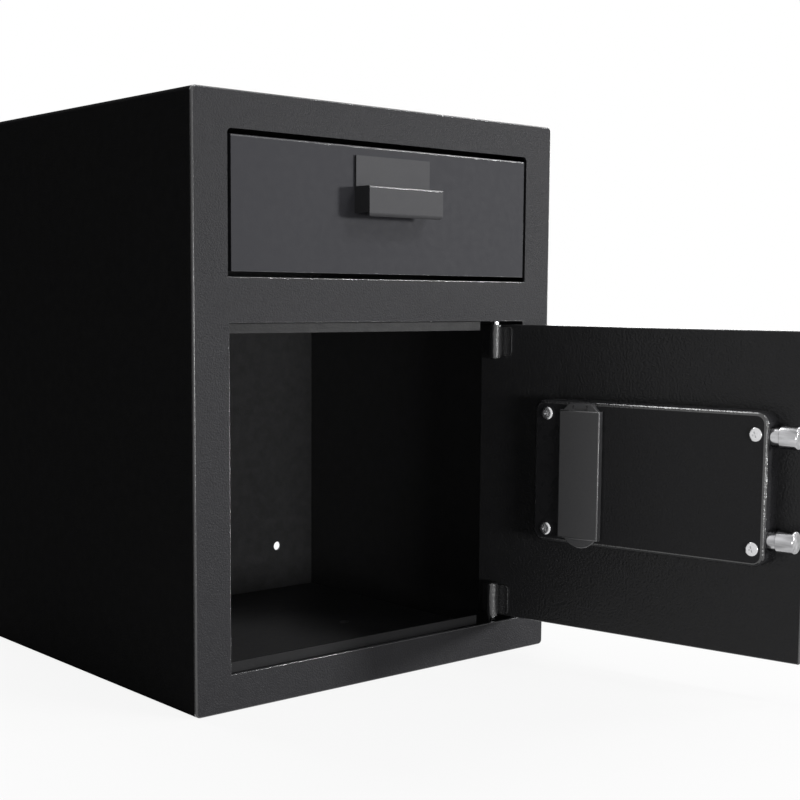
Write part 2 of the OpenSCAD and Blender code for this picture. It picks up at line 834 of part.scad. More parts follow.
// Sprung plates at the ends of the columns
module battery_contacts() {
    end = box_len / 2 - bay_wall;
    half = contact_side / 2;
    color("silver") on_door() for (side = [-1, 1], tip = [-1, 1])
        translate([column_u(side), cell_rise, cover_mid + tip * end]) {
            block([-half, -half, tip > 0 ? -contact_t : 0], [half, half, tip > 0 ? 0 : contact_t]);
            translate([0, 0, tip > 0 ? -contact_len : 0]) cylinder(d = contact_d, h = contact_len);
        }
}

// Bevelled lid over the bay, hollow inside, with a narrowing upper end and a round finger lip
module battery_cover() {
    low = [bay_u0 - lid_lap, cover_depth, bay_v0 - lid_low_lap];
    high = [bay_u1 + lid_lap, cover_depth + lid_rise, bay_v1 + lid_top_lap];
    mid_u = (low[0] + high[0]) / 2;
    tab_v = high[2] - lid_bevel;
    color("#3d3d40") on_door() difference() {
        union() {
            bevelled_slab(low, high, lid_bevel);
            translate([0, high[1], 0]) rotate([90, 0, 0]) linear_extrude(height = lid_rise)
                polygon([[low[0] + lid_bevel, tab_v], [high[0] - lid_bevel, tab_v],
                    [high[0] - lid_tab_inset, tab_v + lid_tab_len],
                    [low[0] + lid_tab_inset, tab_v + lid_tab_len]]);
            translate([mid_u, 0, low[2] - lid_lip_out + lid_lip_d / 2])
                bar_h(lid_lip_d, cover_depth, cover_depth + lid_lip_t);
        }
        bevelled_slab([low[0] + lid_wall, low[1] - over, low[2] + lid_wall],
            [high[0] - lid_wall, high[1] - lid_wall, high[2] - lid_wall], lid_bevel);
        block([mid_u - lid_slot[0] / 2, high[1] - lid_slot[1], tab_v + lid_slot_gap],
            [mid_u + lid_slot[0] / 2, high[1] + over, tab_v + lid_slot_gap + lid_slot[2]]);
    }
}

// Bracket whose web guides both bolts and whose top flange takes the cover's short screws
module bolt_guide() {
    v0 = cover_v0 + cover_wall + guide_end_gap;
    v1 = cover_v1 - cover_wall - guide_end_gap;
    color("silver") on_door() difference() {
        union() {
            block([guide_u, 0, v0], [guide_u + guide_t, cover_in, v1]);
            block([guide_u, 0, v0 + guide_foot_in],
                [guide_u + guide_flange, guide_foot_t, v1 - guide_foot_in]);
            block([guide_u, cover_in - guide_top_t, v0], [guide_u + guide_flange, cover_in, v1]);
        }
        for (side = [-1, 1]) {
            translate([guide_u - over, bolt_rise, work_mid + side * bolt_pitch / 2])
                bar_u(bolt_neck_d + 2 * run_clear, 0, guide_t + 2 * over);
            translate([screw_latch_u, 0, cover_mid - screw_latch_drop + side * screw_latch_v])
                bar_h(screw_d, cover_in - guide_top_t - over, cover_in + over);
        }
    }
}

// Shouldered studs that the carriage's slots run on
module carriage_studs() {
    color("silver") on_door() for (place = stud_places)
        translate([place[0], 0, work_mid + place[1]]) {
            bar_h(stud_head_d, 0, stud_root_t);
            bar_h(stud_d, 0, stud_shoulder);
            bar_h(stud_head_d, stud_shoulder, stud_shoulder + stud_head_t);
        }
}

// Slot along u, from one centre to another, through the carriage's plate
module carriage_slot(u0, u1, width) {
    h0 = carriage_rise - over;
    h1 = carriage_rise + carriage_t + over;
    block([u0, h0, -width / 2], [u1, h1, width / 2]);
    for (u = [u0, u1]) translate([u, 0, 0]) bar_h(width, h0, h1);
}

// Sliding plate that carries both bolts, with a flange for them and a flange that the plunger blocks
module bolt_carriage() {
    t = carriage_t;
    r = carriage_rise;
    u1 = carriage_u1;
    cam_pin_u = spindle_u + bolt_throw / 2;
    cam_v0 = cam_pin_r * cos(45) - cam_pin_d / 2 - cam_slot_clear;
    cam_v1 = cam_pin_r + cam_pin_d / 2 + cam_slot_clear;
    cam_half = cam_pin_d / 2 + cam_slot_clear;
    color("silver") on_door() difference() {
        union() {
            block([carriage_u0, r, carriage_step_v], [u1, r + t, carriage_v1]);
            block([carriage_u0, r, carriage_v0], [carriage_foot_u, r + t, carriage_step_v]);
            block([carriage_u0, r, carriage_v0], [carriage_u0 + t, r + carriage_flange, carriage_v1]);
            block([blocker_u0, r, carriage_step_v - t], [u1, r + blocker_depth, carriage_step_v]);
        }
        for (side = [-1, 1])
            translate([carriage_u0 - over, bolt_rise, work_mid + side * bolt_pitch / 2])
                bar_u(bolt_hole_d, 0, t + 2 * over);
        for (place = stud_places) translate([0, 0, work_mid + place[1]])
            carriage_slot(place[0], place[0] + bolt_throw, stud_d + 2 * stud_slot_clear);
        translate([0, 0, work_mid])
            carriage_slot(spindle_u, spindle_u + bolt_throw, spindle_d + 2 * spindle_slot_clear);
        block([cam_pin_u - cam_half, r - over, work_mid + cam_v0],
            [cam_pin_u + cam_half, r + t + over, work_mid + cam_v1]);
        for (shift = [0, bolt_throw])
            translate([sol_u + shift, plunger_rise, carriage_step_v - t - over])
                cylinder(d = blocker_hole_d, h = t + 2 * over);
    }
}

// Stepped round bolt, drilled for its screw
module bolt(side) {
    on_door() translate([0, bolt_rise, work_mid + side * bolt_pitch / 2]) difference() {
        union() {
            bar_u(bolt_d - 2 * bolt_nose, bolt_tip_inset, bolt_tip_inset + bolt_nose);
            bar_u(bolt_d, bolt_tip_inset + bolt_nose, bolt_tip_inset + bolt_head_len);
            bar_u(bolt_neck_d, bolt_tip_inset + bolt_head_len, carriage_u0);
        }
        bar_u(bolt_tap_d, carriage_u0 - bolt_tap_len, carriage_u0 + over);
    }
}

module bolt_upper() {
    color("silver") bolt(1);
}

module bolt_lower() {
    color("silver") bolt(-1);
}

// Screws that hold the bolts to the carriage's flange
module bolt_screws() {
    back_u = carriage_u0 + carriage_t;
    color("dimgray") on_door() for (side = [-1, 1])
        translate([0, bolt_rise, work_mid + side * bolt_pitch / 2]) {
            bar_u(bolt_tap_d - 2 * bolt_thread_gap, carriage_u0 - bolt_tap_len + over, back_u);
            translate([back_u, 0, 0]) rotate([0, 90, 0])
                cylinder(d = bolt_screw_head_d, h = bolt_screw_head_t, $fn = 6);
        }
}

// Turned knob with a raised grip, on the outside of the door
module knob() {
    back = pad_front - knob_gap;
    half = knob_d / 2 - knob_grip_in;
    color("#303032") on_door() translate([spindle_u, 0, work_mid]) difference() {
        union() {
            bar_h(knob_d, back - knob_skirt_t, back);
            bar_h(knob_core_d, back - knob_len, back);
            rotate([0, 45, 0]) block([-half, back - knob_len, -knob_grip_t / 2],
                [half, back - knob_skirt_t + over, knob_grip_t / 2]);
        }
        bar_h(spindle_d, back - knob_len + knob_face_t, back + over);
    }
}

module knob_spindle() {
    color("silver") on_door() translate([spindle_u, 0, work_mid])
        bar_h(spindle_d, pad_front - knob_gap - knob_len + knob_face_t, cam_rise + cam_t + cam_hub_t);
}

// Disc on the spindle whose pin moves the carriage
module drive_cam() {
    color("silver") on_door() translate([spindle_u, 0, work_mid]) {
        difference() {
            union() {
                bar_h(cam_d, cam_rise, cam_rise + cam_t);
                bar_h(cam_hub_d, cam_rise, cam_rise + cam_t + cam_hub_t);
            }
            bar_h(spindle_d, cam_rise - over, cam_rise + cam_t + cam_hub_t + over);
        }
        rotate([0, -45, 0]) translate([cam_pin_r, 0, 0]) bar_h(cam_pin_d, carriage_rise + 0.2, cam_rise);
    }
}

// Coil in its steel frame, bored for the plunger
module solenoid() {
    color("#6b4a2a") on_door() difference() {
        union() {
            for (v = [sol_v0, sol_v0 + sol_h - sol_plate_t])
                block([sol_u - sol_w / 2, sol_rise, v],
                    [sol_u + sol_w / 2, sol_rise + sol_depth, v + sol_plate_t]);
            block([sol_u - sol_w / 2, 0, sol_v0], [sol_u + sol_w / 2, sol_rise, sol_v0 + sol_h]);
            translate([sol_u, plunger_rise, sol_v0]) cylinder(d = sol_depth - 2 * sol_coil_in, h = sol_h);
        }
        translate([sol_u, plunger_rise, plunger_v0 - plunger_seat_gap])
            cylinder(d = plunger_d + 2 * plunger_clear, h = sol_h);
    }
}

// Plunger that rises into the carriage's flange, with a collar for its spring
module solenoid_plunger() {
    color("silver") on_door() translate([sol_u, plunger_rise, 0]) {
        translate([0, 0, plunger_v0]) cylinder(d = plunger_d, h = collar_v1 - plunger_v0);
        translate([0, 0, collar_v1 - collar_t]) cylinder(d = collar_d, h = collar_t);
        translate([0, 0, collar_v1]) cylinder(d = plunger_tip_d, h = plunger_v1 - collar_v1);
    }
}

// Ring of points round the spring's wire, at a share of the spring's length
function spring_ring(share) = let (turn = 360 * spring_turns * share,
        low = spring_v0 + spring_wire / 2, rise = spring_v1 - spring_wire - spring_v0)
    [for (k = [0:spring_sides - 1]) let (a = 360 * k / spring_sides,
            r = spring_r + spring_wire / 2 * cos(a))
        [r * cos(turn), r * sin(turn), low + rise * share + spring_wire / 2 * sin(a)]];

// Compression spring between the solenoid and the plunger's collar
module plunger_spring() {
    rings = spring_turns * spring_steps;
    n = spring_sides;
    points = [for (k = [0:rings], p = spring_ring(k / rings)) p];
    sides = [for (k = [0:rings - 1], j = [0:n - 1]) let (a = k * n + j, b = k * n + (j + 1) % n)
        each [[a, b, b + n], [a, b + n, a + n]]];
    first = [for (j = [1:n - 2]) [0, j + 1, j]];
    last = [for (j = [1:n - 2]) [rings * n, rings * n + j, rings * n + j + 1]];
    color("silver") on_door() translate([sol_u, plunger_rise, 0])
        polyhedron(points = points, faces = concat(first, sides, last));
}

// Control board on two feet, with its chips and connector
module circuit_board() {
    top = board_rise + board_t;
    color("darkgreen") on_door() difference() {
        union() {
            block([board_u0, board_rise, board_v0], [board_u1, top, board_v1]);
            for (u = [board_u0 + board_feet[0], board_u1 - board_feet[1]])
                translate([u, 0, board_v0 + board_feet[2]]) bar_h(board_foot_d, 0, board_rise);
            translate([board_u0 + chip_low[0], top, board_v0 + chip_low[1]]) cube(chip_size);
            translate([board_u0 + plug_low[0], top, board_v0 + plug_low[1]]) cube(plug_size);
        }
        translate([cable_u, 0, cable_v]) bar_h(cable_d, board_rise - over, top + over);
    }
}

// Cable from the keypad's board through the door to the control board
module keypad_cable() {
    color("#101010") on_door() translate([cable_u, 0, cable_v])
        bar_h(cable_d, pad_board_rise, board_rise + board_t);
}

// Hollow housing on the outside of the door, with holes for what comes through it
module keypad_housing() {
    u0 = pad_u - pad_w / 2;
    u1 = pad_u + pad_w / 2;
    v0 = pad_v - pad_h / 2;
    v1 = pad_v + pad_h / 2;
    side = key_side / 2 + key_clear;
    face = pad_front + pad_wall;
    cut = pad_front - over;
    color("#242426") on_door() {
        difference() {
            rounded_block([u0, pad_front, v0], [u1, -door_t, v1], pad_r);
            rounded_block([u0 + pad_wall, face, v0 + pad_wall],
                [u1 - pad_wall, -door_t + over, v1 - pad_wall], pad_r - pad_wall);
            for (row = [0:3], col = [0:2]) translate([key_u(col), 0, key_v(row)])
                block([-side, cut, -side], [side, face + over, side]);
            for (col = [0:2]) translate([key_u(col), 0, lamp_v]) bar_h(lamp_d, cut, face + over);
            translate([spindle_u, 0, work_mid]) bar_h(spindle_d + 1, cut, face + over);
            translate([override_u, 0, override_v]) {
                bar_h(override_d + 2 * override_clear, cut, face + over);
                translate([0, 0, cap_pivot_rise]) bar_h(cap_pin_d + 0.1, cut, face + over);
            }
        }
        for (u = [key_u(0) - pad_boss_out, key_u(2) + pad_boss_out])
            for (v = [key_v(3) - pad_boss_out, key_v(0) + pad_boss_out])
                translate([u, 0, v]) bar_h(pad_boss_d, face, pad_board_rise - board_t);
    }
}

function key_u(col) = keys_u + (col - 1) * key_pitch;
function key_v(row) = keys_v + (1.5 - row) * key_pitch;

// Board behind the keys
module keypad_board() {
    margin = pad_boss_out + pad_boss_d / 2 + 0.5;
    color("darkgreen") on_door()
        block([key_u(0) - margin, pad_board_rise - board_t, key_v(3) - margin],
            [key_u(2) + margin, pad_board_rise, key_v(0) + margin]);
}

// Three lamps above the keys
module status_lamps() {
    lamp_back = pad_front + pad_wall;
    color("#7fae6b") on_door() for (col = [0:2]) translate([key_u(col), 0, lamp_v]) {
        bar_h(lamp_d, pad_front - lamp_proud, lamp_back);
        bar_h(lamp_d + 2 * lamp_flange, lamp_back, lamp_back + lamp_flange);
    }
}

// Cap, skirt and stem of one key; the skirt lies behind the housing's face
module key_body(row, col) {
    side = key_side / 2;
    skirt = side + key_skirt;
    face = pad_front + pad_wall;
    stem_end = pad_board_rise - board_t - key_travel - 0.2;
    on_door() translate([key_u(col), 0, key_v(row)]) {
        block([-side, pad_front - key_proud, -side], [side, face, side]);
        block([-skirt, face, -skirt], [skirt, face + key_skirt_t, skirt]);
        bar_h(key_stem_d, face + key_skirt_t, stem_end);
    }
}

module key_1() {
    color("#b9b9bb") key_body(0, 0);
}

module key_2() {
    color("#b9b9bb") key_body(0, 1);
}

module key_3() {
    color("#b9b9bb") key_body(0, 2);
}

module key_4() {
    color("#b9b9bb") key_body(1, 0);
}

module key_5() {
    color("#b9b9bb") key_body(1, 1);
}

module key_6() {
    color("#b9b9bb") key_body(1, 2);
}

module key_7() {
    color("#b9b9bb") key_body(2, 0);
}

module key_8() {
    color("#b9b9bb") key_body(2, 1);
}

module key_9() {
    color("#b9b9bb") key_body(2, 2);
}

module key_star() {
    color("#b9b9bb") key_body(3, 0);
}

module key_0() {
    color("#b9b9bb") key_body(3, 1);
}

module key_hash() {
    color("#b9b9bb") key_body(3, 2);
}

// Threaded barrel through the door, held by a nut on the inner side
module override_lock() {
    color("silver") on_door() translate([override_u, 0, override_v]) difference() {
        union() {
            bar_h(override_d, pad_front, override_end);
            rotate([-90, 0, 0]) cylinder(d = nut_flat / cos(30), h = nut_t, $fn = 6);
        }
        bar_h(plug_d + 2 * run_clear, pad_front - over, override_end + over);
    }
}

// Plug that the key turns
module override_plug() {
    color("gold") on_door() translate([override_u, 0, override_v]) difference() {
        bar_h(plug_d, pad_front + plug_sink, override_end + tail_gap);
        block([-plug_slot[0] / 2, pad_front - over, -plug_slot[2] / 2],
            [plug_slot[0] / 2, pad_front + plug_slot[1], plug_slot[2] / 2]);
    }
}

// Finger on the plug's inner end that lifts the plunger's link
module override_tail() {
    h0 = override_end + tail_gap;
    color("silver") on_door() translate([override_u, 0, override_v]) {
        bar_h(plug_d, h0, h0 + tail_t);
        block([-tail_w / 2, h0, 0], [tail_w / 2, h0 + tail_t, tail_len]);
    }
}

// Round cap that hides the keyhole and hangs from its pivot
module override_cap() {
    front = pad_front - cap_gap;
    color("#303032") on_door() translate([override_u, 0, override_v]) {
        bar_h(cap_d, front - cap_t, front);
        translate([0, 0, cap_pivot_rise]) bar_h(cap_pin_d, front - cap_t, pad_front + pad_wall + 1);
    }
}

// Folded pan that fills the drawer opening
module drawer_front() {
    t = drawer_front_t;
    color("#464648") difference() {
        block([face_x0, y_front, face_z0], [face_x1, y_front + face_return, face_z1]);
        block([face_x0 + t, y_front + t, face_z0 + t],
            [face_x1 - t, y_front + face_return + over, face_z1 - t]);
    }
}

// Pressed pull: a plate on the drawer, a shelf outwards, a lip down and a cheek on each side
module drawer_handle() {
    t = drawer_front_t;
    x0 = handle_offset - handle_w / 2;
    x1 = handle_offset + handle_w / 2;
    z1 = face_z1 - handle_drop;
    shelf_z = z1 - handle_plate_h;
    lip_z = shelf_z + t - handle_lip_h;
    color("#464648") {
        block([x0, y_front - t, shelf_z], [x1, y_front, z1]);
        block([x0, y_front - handle_out, shelf_z], [x1, y_front, shelf_z + t]);
        block([x0, y_front - handle_out, lip_z + handle_r], [x1, y_front - handle_out + t, shelf_z + t]);
        block([x0 + handle_r, y_front - handle_out, lip_z],
            [x1 - handle_r, y_front - handle_out + t, shelf_z + t]);
        for (x = [x0 + handle_r, x1 - handle_r]) translate([x, 0, lip_z + handle_r])
            bar_h(2 * handle_r, y_front - handle_out, y_front - handle_out + t);
        for (x = [x0, x1 - t])
            block([x, y_front - handle_out, lip_z + handle_r], [x + t, y_front, shelf_z + t]);
    }
}

// Open-topped tray: a floor that slopes back, and a drop slot behind it
module drawer_tray() {
    t = tray_t;
    floor_y = y_front + floor_len;
    color("#8b8c8e") {
        for (x = [tray_x0, tray_x1 - t]) block([x, tray_y0, tray_z0], [x + t, tray_y1, tray_z1]);
        block([tray_x0, tray_y1 - t, tray_z0], [tray_x1, tray_y1, tray_z1]);
        translate([tray_x0, 0, 0]) rotate([90, 0, 90]) linear_extrude(height = tray_x1 - tray_x0)
            polygon([[tray_y0, tray_z0 + floor_rise], [floor_y, tray_z0], [floor_y, tray_z0 + t],
                [tray_y0, tray_z0 + floor_rise + t]]);
    }
}

// Bar on each side of the tray that slides in a runner
module drawer_rails() {
    half = runner_h / 2 - runner_t - runner_clear;
    color("silver") for (side = [0, 1]) mirror([side, 0, 0]) difference() {
        block([rail_x0, rail_y0, runner_z - half], [tray_x0, tray_y1, runner_z + half]);
        block([rail_x0 + runner_t, rail_y0 - over, runner_z - half + runner_t],
            [tray_x0 + over, tray_y1 + over, runner_z + half - runner_t]);
    }
}

body_shell();
back_panel();
front_frame();
door_stop_top();
door_stop_bottom();
latch_strike();
hinge_lug_top();
hinge_lug_bottom();
hinge_pin_top();
hinge_pin_bottom();
fish_baffle();
runner_left();
runner_right();
door_plate();
hinge_bracket_top();
hinge_bracket_bottom();
lock_cover();
cover_posts();
cover_screws();
battery_box();
battery_cells();
battery_contacts();
battery_cover();
bolt_guide();
carriage_studs();
bolt_carriage();
bolt_upper();
bolt_lower();
bolt_screws();
knob();
knob_spindle();
drive_cam();
solenoid();
solenoid_plunger();
plunger_spring();
circuit_board();
keypad_cable();
keypad_housing();
keypad_board();
status_lamps();
override_lock();
override_plug();
override_tail();
override_cap();
key_1();
key_2();
key_3();
key_4();
key_5();
key_6();
key_7();
key_8();
key_9();
key_star();
key_0();
key_hash();
drawer_front();
drawer_handle();
drawer_tray();
drawer_rails();
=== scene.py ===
"""Drop safe with a deposit drawer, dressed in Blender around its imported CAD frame.

Pieces are shaped in millimetres, in the frame's own axes: the origin is the middle of the base,
+Z is up and the front faces -Y. Pieces of the door are shaped in the door's axes (u from the latch
edge, h inwards from the inner face, v up from the lower edge) and carried to where it stands open.
"""

import logging
import math
from dataclasses import dataclass, field, replace
from enum import Enum
from typing import Callable, Dict, Iterable, List, Optional, Sequence, Tuple, Union

import bpy
from mathutils import Matrix, Vector


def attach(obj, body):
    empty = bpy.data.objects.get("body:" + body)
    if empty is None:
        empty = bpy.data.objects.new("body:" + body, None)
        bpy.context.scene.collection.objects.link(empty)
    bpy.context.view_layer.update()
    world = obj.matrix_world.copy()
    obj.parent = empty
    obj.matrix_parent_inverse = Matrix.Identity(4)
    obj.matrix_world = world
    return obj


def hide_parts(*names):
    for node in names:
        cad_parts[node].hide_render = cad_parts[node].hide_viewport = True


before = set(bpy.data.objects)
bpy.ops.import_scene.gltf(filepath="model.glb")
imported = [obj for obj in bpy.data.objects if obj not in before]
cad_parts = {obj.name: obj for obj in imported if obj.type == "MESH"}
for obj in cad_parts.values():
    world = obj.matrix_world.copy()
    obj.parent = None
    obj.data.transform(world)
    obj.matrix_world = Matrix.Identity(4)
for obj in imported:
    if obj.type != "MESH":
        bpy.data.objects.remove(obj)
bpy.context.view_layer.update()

LOG = logging.getLogger("drop_safe")
MM = 0.001
SAME_MM = 0.02
SHARP_DEG = 25.0
SMOOTH_DEG = 35.0
FLAT = 0.995
HOLE_SIDES = 48
SMALL_SIDES = 32
CORNER_STEPS = 8
NOISE_RANGE = (0.3, 0.7)
NOISE_ROUGHNESS = 0.55
BROADER = 6.0
ALONG_X, ALONG_Y, ALONG_Z, OUTWARDS = (1, 0, 0), (0, 1, 0), (0, 0, 1), (0, -1, 0)

Pair = Tuple[float, float]
Point = Tuple[float, float, float]
Spot = Callable[[Vector], bool]
Piece = bpy.types.Object
Tree = bpy.types.NodeTree
Node = bpy.types.Node
Socket = bpy.types.NodeSocket


def near(a: float, b: float) -> bool:
    """Says whether two lengths in millimetres are the same."""
    return abs(a - b) < SAME_MM


def on(x: Optional[float] = None, y: Optional[float] = None, z: Optional[float] = None) -> Spot:
    """Makes the test whether a point lies on every plane that is given, in millimetres."""
    planes = [(axis, place) for axis, place in enumerate((x, y, z)) if place is not None]
    return lambda p: all(near(p[axis], place) for axis, place in planes)


def add_node(tree: Tree, kind: str, **values: object) -> Node:
    """Adds a shader node and sets its inputs.

    Args:
        tree: The node tree.
        kind: Blender's name of the node, without its ShaderNode.
        **values: Values of inputs, whose names have _ for each space.

    Returns:
        The new node.
    """
    node = tree.nodes.new("ShaderNode" + kind)
    for name, value in values.items():
        node.inputs[name.replace("_", " ")].default_value = value
    return node


class Body(Enum):
    """The moving groups of the frame that new pieces ride on."""

    SAFE = "safe_body"
    DOOR = "door"
    BOLTS = "bolt_work"
    KNOB = "knob_shaft"
    LID = "battery_lid"
    CAP = "keyhole_cap"
    DRAWER = "drawer"


class Bench:
    """Shapes meshes with Blender's own operators; every length is in millimetres."""

    @staticmethod
    def clear() -> None:
        """Leaves edit mode and deselects everything."""
        if bpy.context.object and bpy.context.object.mode != "OBJECT":
            bpy.ops.object.mode_set(mode="OBJECT")
        bpy.ops.object.select_all(action="DESELECT")

    @classmethod
    def pick(cls, piece: Piece) -> None:
        """Makes a piece the only selected and the active one.

        Args:
            piece: The object to work on.
        """
        cls.clear()
        piece.select_set(True)
        bpy.context.view_layer.objects.active = piece

    @classmethod
    def settle(cls, piece: Piece) -> Piece:
        """Puts a piece's place, turn and size into its mesh.

        Args:
            piece: The object whose transform is applied.

        Returns:
            The same object, at the origin.
        """
        cls.pick(piece)
        bpy.ops.object.transform_apply(location=True, rotation=True, scale=True)
        return piece

    @classmethod
    def block(cls, name: str, low: Sequence[float], high: Sequence[float]) -> Piece:
        """Adds a block between two corners.

        Args:
            name: Name of the new object.
            low: Lowest corner.
            high: Highest corner.

        Returns:
            The new object.
        """
        cls.clear()
        middle = [(a + b) / 2 * MM for a, b in zip(low, high)]
        bpy.ops.mesh.primitive_cube_add(size=1, location=middle)
        piece = bpy.context.object
        piece.name = name
        piece.scale = [(b - a) * MM for a, b in zip(low, high)]
        return cls.settle(piece)

    @classmethod
    def turned(cls, name: str, base: Sequence[float], along: Sequence[float], profile: Sequence[Pair],
               sides: int = 64) -> Piece:
        """Turns a round piece: a disc is extruded and widened ring by ring.

        Args:
            name: Name of the new object.
            base: Point of the axis that heights count from.
            along: Direction of the axis.
            profile: Height and diameter of each ring, in order.
            sides: Number of sides.

        Returns:
            The new object, with both ends closed.
        """
        cls.clear()
        height, diameter = profile[0]
        bpy.ops.mesh.primitive_circle_add(vertices=sides, radius=diameter / 2 * MM, fill_type="NGON",
                                          location=(0.0, 0.0, height * MM))
        piece = bpy.context.object
        piece.name = name
        cls.settle(piece)
        bpy.ops.object.mode_set(mode="EDIT")
        bpy.ops.mesh.select_all(action="SELECT")
        for next_height, next_diameter in profile[1:]:
            rise = (next_height - height) * MM
            bpy.ops.mesh.extrude_region_move(TRANSFORM_OT_translate={"value": (0.0, 0.0, rise)})
            grow = next_diameter / diameter
            bpy.ops.transform.resize(value=(grow, grow, 1.0),
                                     center_override=(0.0, 0.0, next_height * MM))
            height, diameter = next_height, next_diameter
        bpy.ops.mesh.select_all(action="SELECT")
        bpy.ops.mesh.normals_make_consistent(inside=False)
        bpy.ops.object.mode_set(mode="OBJECT")
        turn = Vector(along).to_track_quat("Z", "Y").to_matrix().to_4x4()
        piece.matrix_world = Matrix.Translation(Vector(base) * MM) @ turn
        return cls.settle(piece)

    @classmethod
    def drill(cls, base: Sequence[float], along: Sequence[float], diameter: float, length: float,
              sides: int = HOLE_SIDES) -> Piece:
        """Adds a plain round cutter that starts at a point and runs along an axis."""
        return cls.turned("hole", base, along, [(0.0, diameter), (length, diameter)], sides)

    @classmethod
    def _choose(cls, piece: Piece, kind: str, sharp: bool = False) -> None:
        """Selects nothing, or every sharp edge, in one select mode, and returns to object mode.

        Args:
            piece: The object to work on.
            kind: Blender's name of the select mode.
            sharp: True where the sharp edges are selected.
        """
        cls.pick(piece)
        bpy.ops.object.mode_set(mode="EDIT")
        bpy.ops.mesh.select_mode(type=kind)
        bpy.ops.mesh.select_all(action="DESELECT")
        if sharp:
            bpy.ops.mesh.edges_select_sharp(sharpness=math.radians(SHARP_DEG))
        bpy.ops.object.mode_set(mode="OBJECT")

    @classmethod
    def choose_faces(cls, piece: Piece, spot: Spot) -> None:
        """Selects the faces whose normal passes a test, and enters edit mode.

        Args:
            piece: The object to work on.
            spot: Says of a normal whether its face counts.
        """
        cls._choose(piece, "FACE")
        for face in piece.data.polygons:
            face.select = spot(face.normal)
        bpy.ops.object.mode_set(mode="EDIT")

    @classmethod
    def round(cls, piece: Piece, spot: Spot, radius: float, segments: int = 3) -> Piece:
        """Rounds the sharp edges whose two ends both pass a test.

        Args:
            piece: The object to work on.
            spot: Says of a point whether it counts.
            radius: Radius of the rounding.
            segments: Number of faces across it.

        Returns:
            The same object.
        """
        cls._choose(piece, "EDGE", sharp=True)
        mesh = piece.data
        marks = [spot(v.co / MM) for v in mesh.vertices]
        chosen = [e.index for e in mesh.edges if e.select and all(marks[end] for end in e.vertices)]
        for group in (mesh.vertices, mesh.edges, mesh.polygons):
            group.foreach_set("select", [False] * len(group))
        for index in chosen:
            edge = mesh.edges[index]
            edge.select = True
            for end in edge.vertices:
                mesh.vertices[end].select = True
        bpy.ops.object.mode_set(mode="EDIT")
        if chosen:
            bpy.ops.mesh.bevel(offset=radius * MM, segments=segments, affect="EDGES", clamp_overlap=True)
        bpy.ops.object.mode_set(mode="OBJECT")
        return piece

    @classmethod
    def corners(cls, piece: Piece, xs: Pair, zs: Pair, radius: float, segments: int) -> None:
        """Rounds the four edges of a block that run along Y.

        Args:
            piece: The block.
            xs: X of its two sides.
            zs: Z of its bottom and top.
            radius: Radius of the roundings.
            segments: Number of faces across each.
        """
        for x in xs:
            for z in zs:
                cls.round(piece, on(x=x, z=z), radius, segments)

    @classmethod
    def modify(cls, piece: Piece, kind: str, **values: object) -> Piece:
        """Adds one modifier and applies it.

        Args:
            piece: The object to work on.
            kind: Blender's name of the modifier.
            **values: Settings of the modifier.

        Returns:
            The same object.
        """
        cls.pick(piece)
        modifier = piece.modifiers.new(kind.title(), kind)
        for key, value in values.items():
            setattr(modifier, key, value)
        bpy.ops.object.modifier_apply(modifier=modifier.name)
        return piece

    @classmethod
    def combine(cls, piece: Piece, others: Iterable[Piece], how: str = "DIFFERENCE") -> Piece:
        """Cuts others out of a piece, or adds them to it, and removes them.

        Args:
            piece: The object that stays.
            others: The objects that are used up.
            how: DIFFERENCE or UNION.

        Returns:
            The object that stays.
        """
        for other in others:
            cls.modify(piece, "BOOLEAN", operation=how, object=other, solver="EXACT")
            bpy.data.objects.remove(other, do_unlink=True)
        return piece

    @classmethod
    def tub(cls, name: str, u: Pair, v: Pair, closed: float, opened: float, wall: float, corner: float,
            fillet: float, segments: int) -> Piece:
        """Makes a hollow box that is open on one side, with rounded corners and closed side.

        Args:
            name: Name of the piece.
            u: X of its two sides.
            v: Z of its bottom and top.
            closed: Y of the closed side.
            opened: Y of the open side.
            wall: Thickness of the walls.
            corner: Outer radius of the four corners.
            fillet: Outer radius round the closed side.
            segments: Number of faces across that rounding.

        Returns:
            The hollow box.
        """
        inwards = math.copysign(1.0, opened - closed)
        parts: List[Piece] = []
        for part, inset in ((name, 0.0), ("hollow", wall)):
            (x0, x1), (z0, z1) = (u[0] + inset, u[1] - inset), (v[0] + inset, v[1] - inset)
            ys = (closed + inwards * inset, opened + inwards * inset)
            box = cls.block(part, (x0, min(ys), z0), (x1, max(ys), z1))
            cls.corners(box, (x0, x1), (z0, z1), corner - inset, CORNER_STEPS)
            parts.append(cls.round(box, on(y=ys[0]), fillet - inset, segments))
        return cls.combine(parts[0], parts[1:])

    @classmethod
    def copy(cls, piece: Piece, name: str, shift: Sequence[float]) -> Piece:
        """Copies a piece with its own mesh.

        Args:
            piece: The object that is copied.
            name: Name of the copy.
            shift: How far the copy is moved.

        Returns:
            The copy.
        """
        twin = piece.copy()
        twin.data = piece.data.copy()
        twin.name = name
        bpy.context.scene.collection.objects.link(twin)
        twin.location = Vector(shift) * MM
        return cls.settle(twin)

    @staticmethod
    def mark_bends(piece: Piece, lowest: float = -2.0) -> Piece:
        """Gives the faces of every rounding the piece's second material.

        Args:
            piece: The object, still in the axes that it was shaped in.
            lowest: Least Z of the normal of a face that counts; -2 counts every one.

        Returns:
            The same object.
        """
        for face in piece.data.polygons:
            bent = max(abs(c) for c in face.normal) < FLAT
            face.material_index = int(bent and face.normal.z > lowest)
        return piece

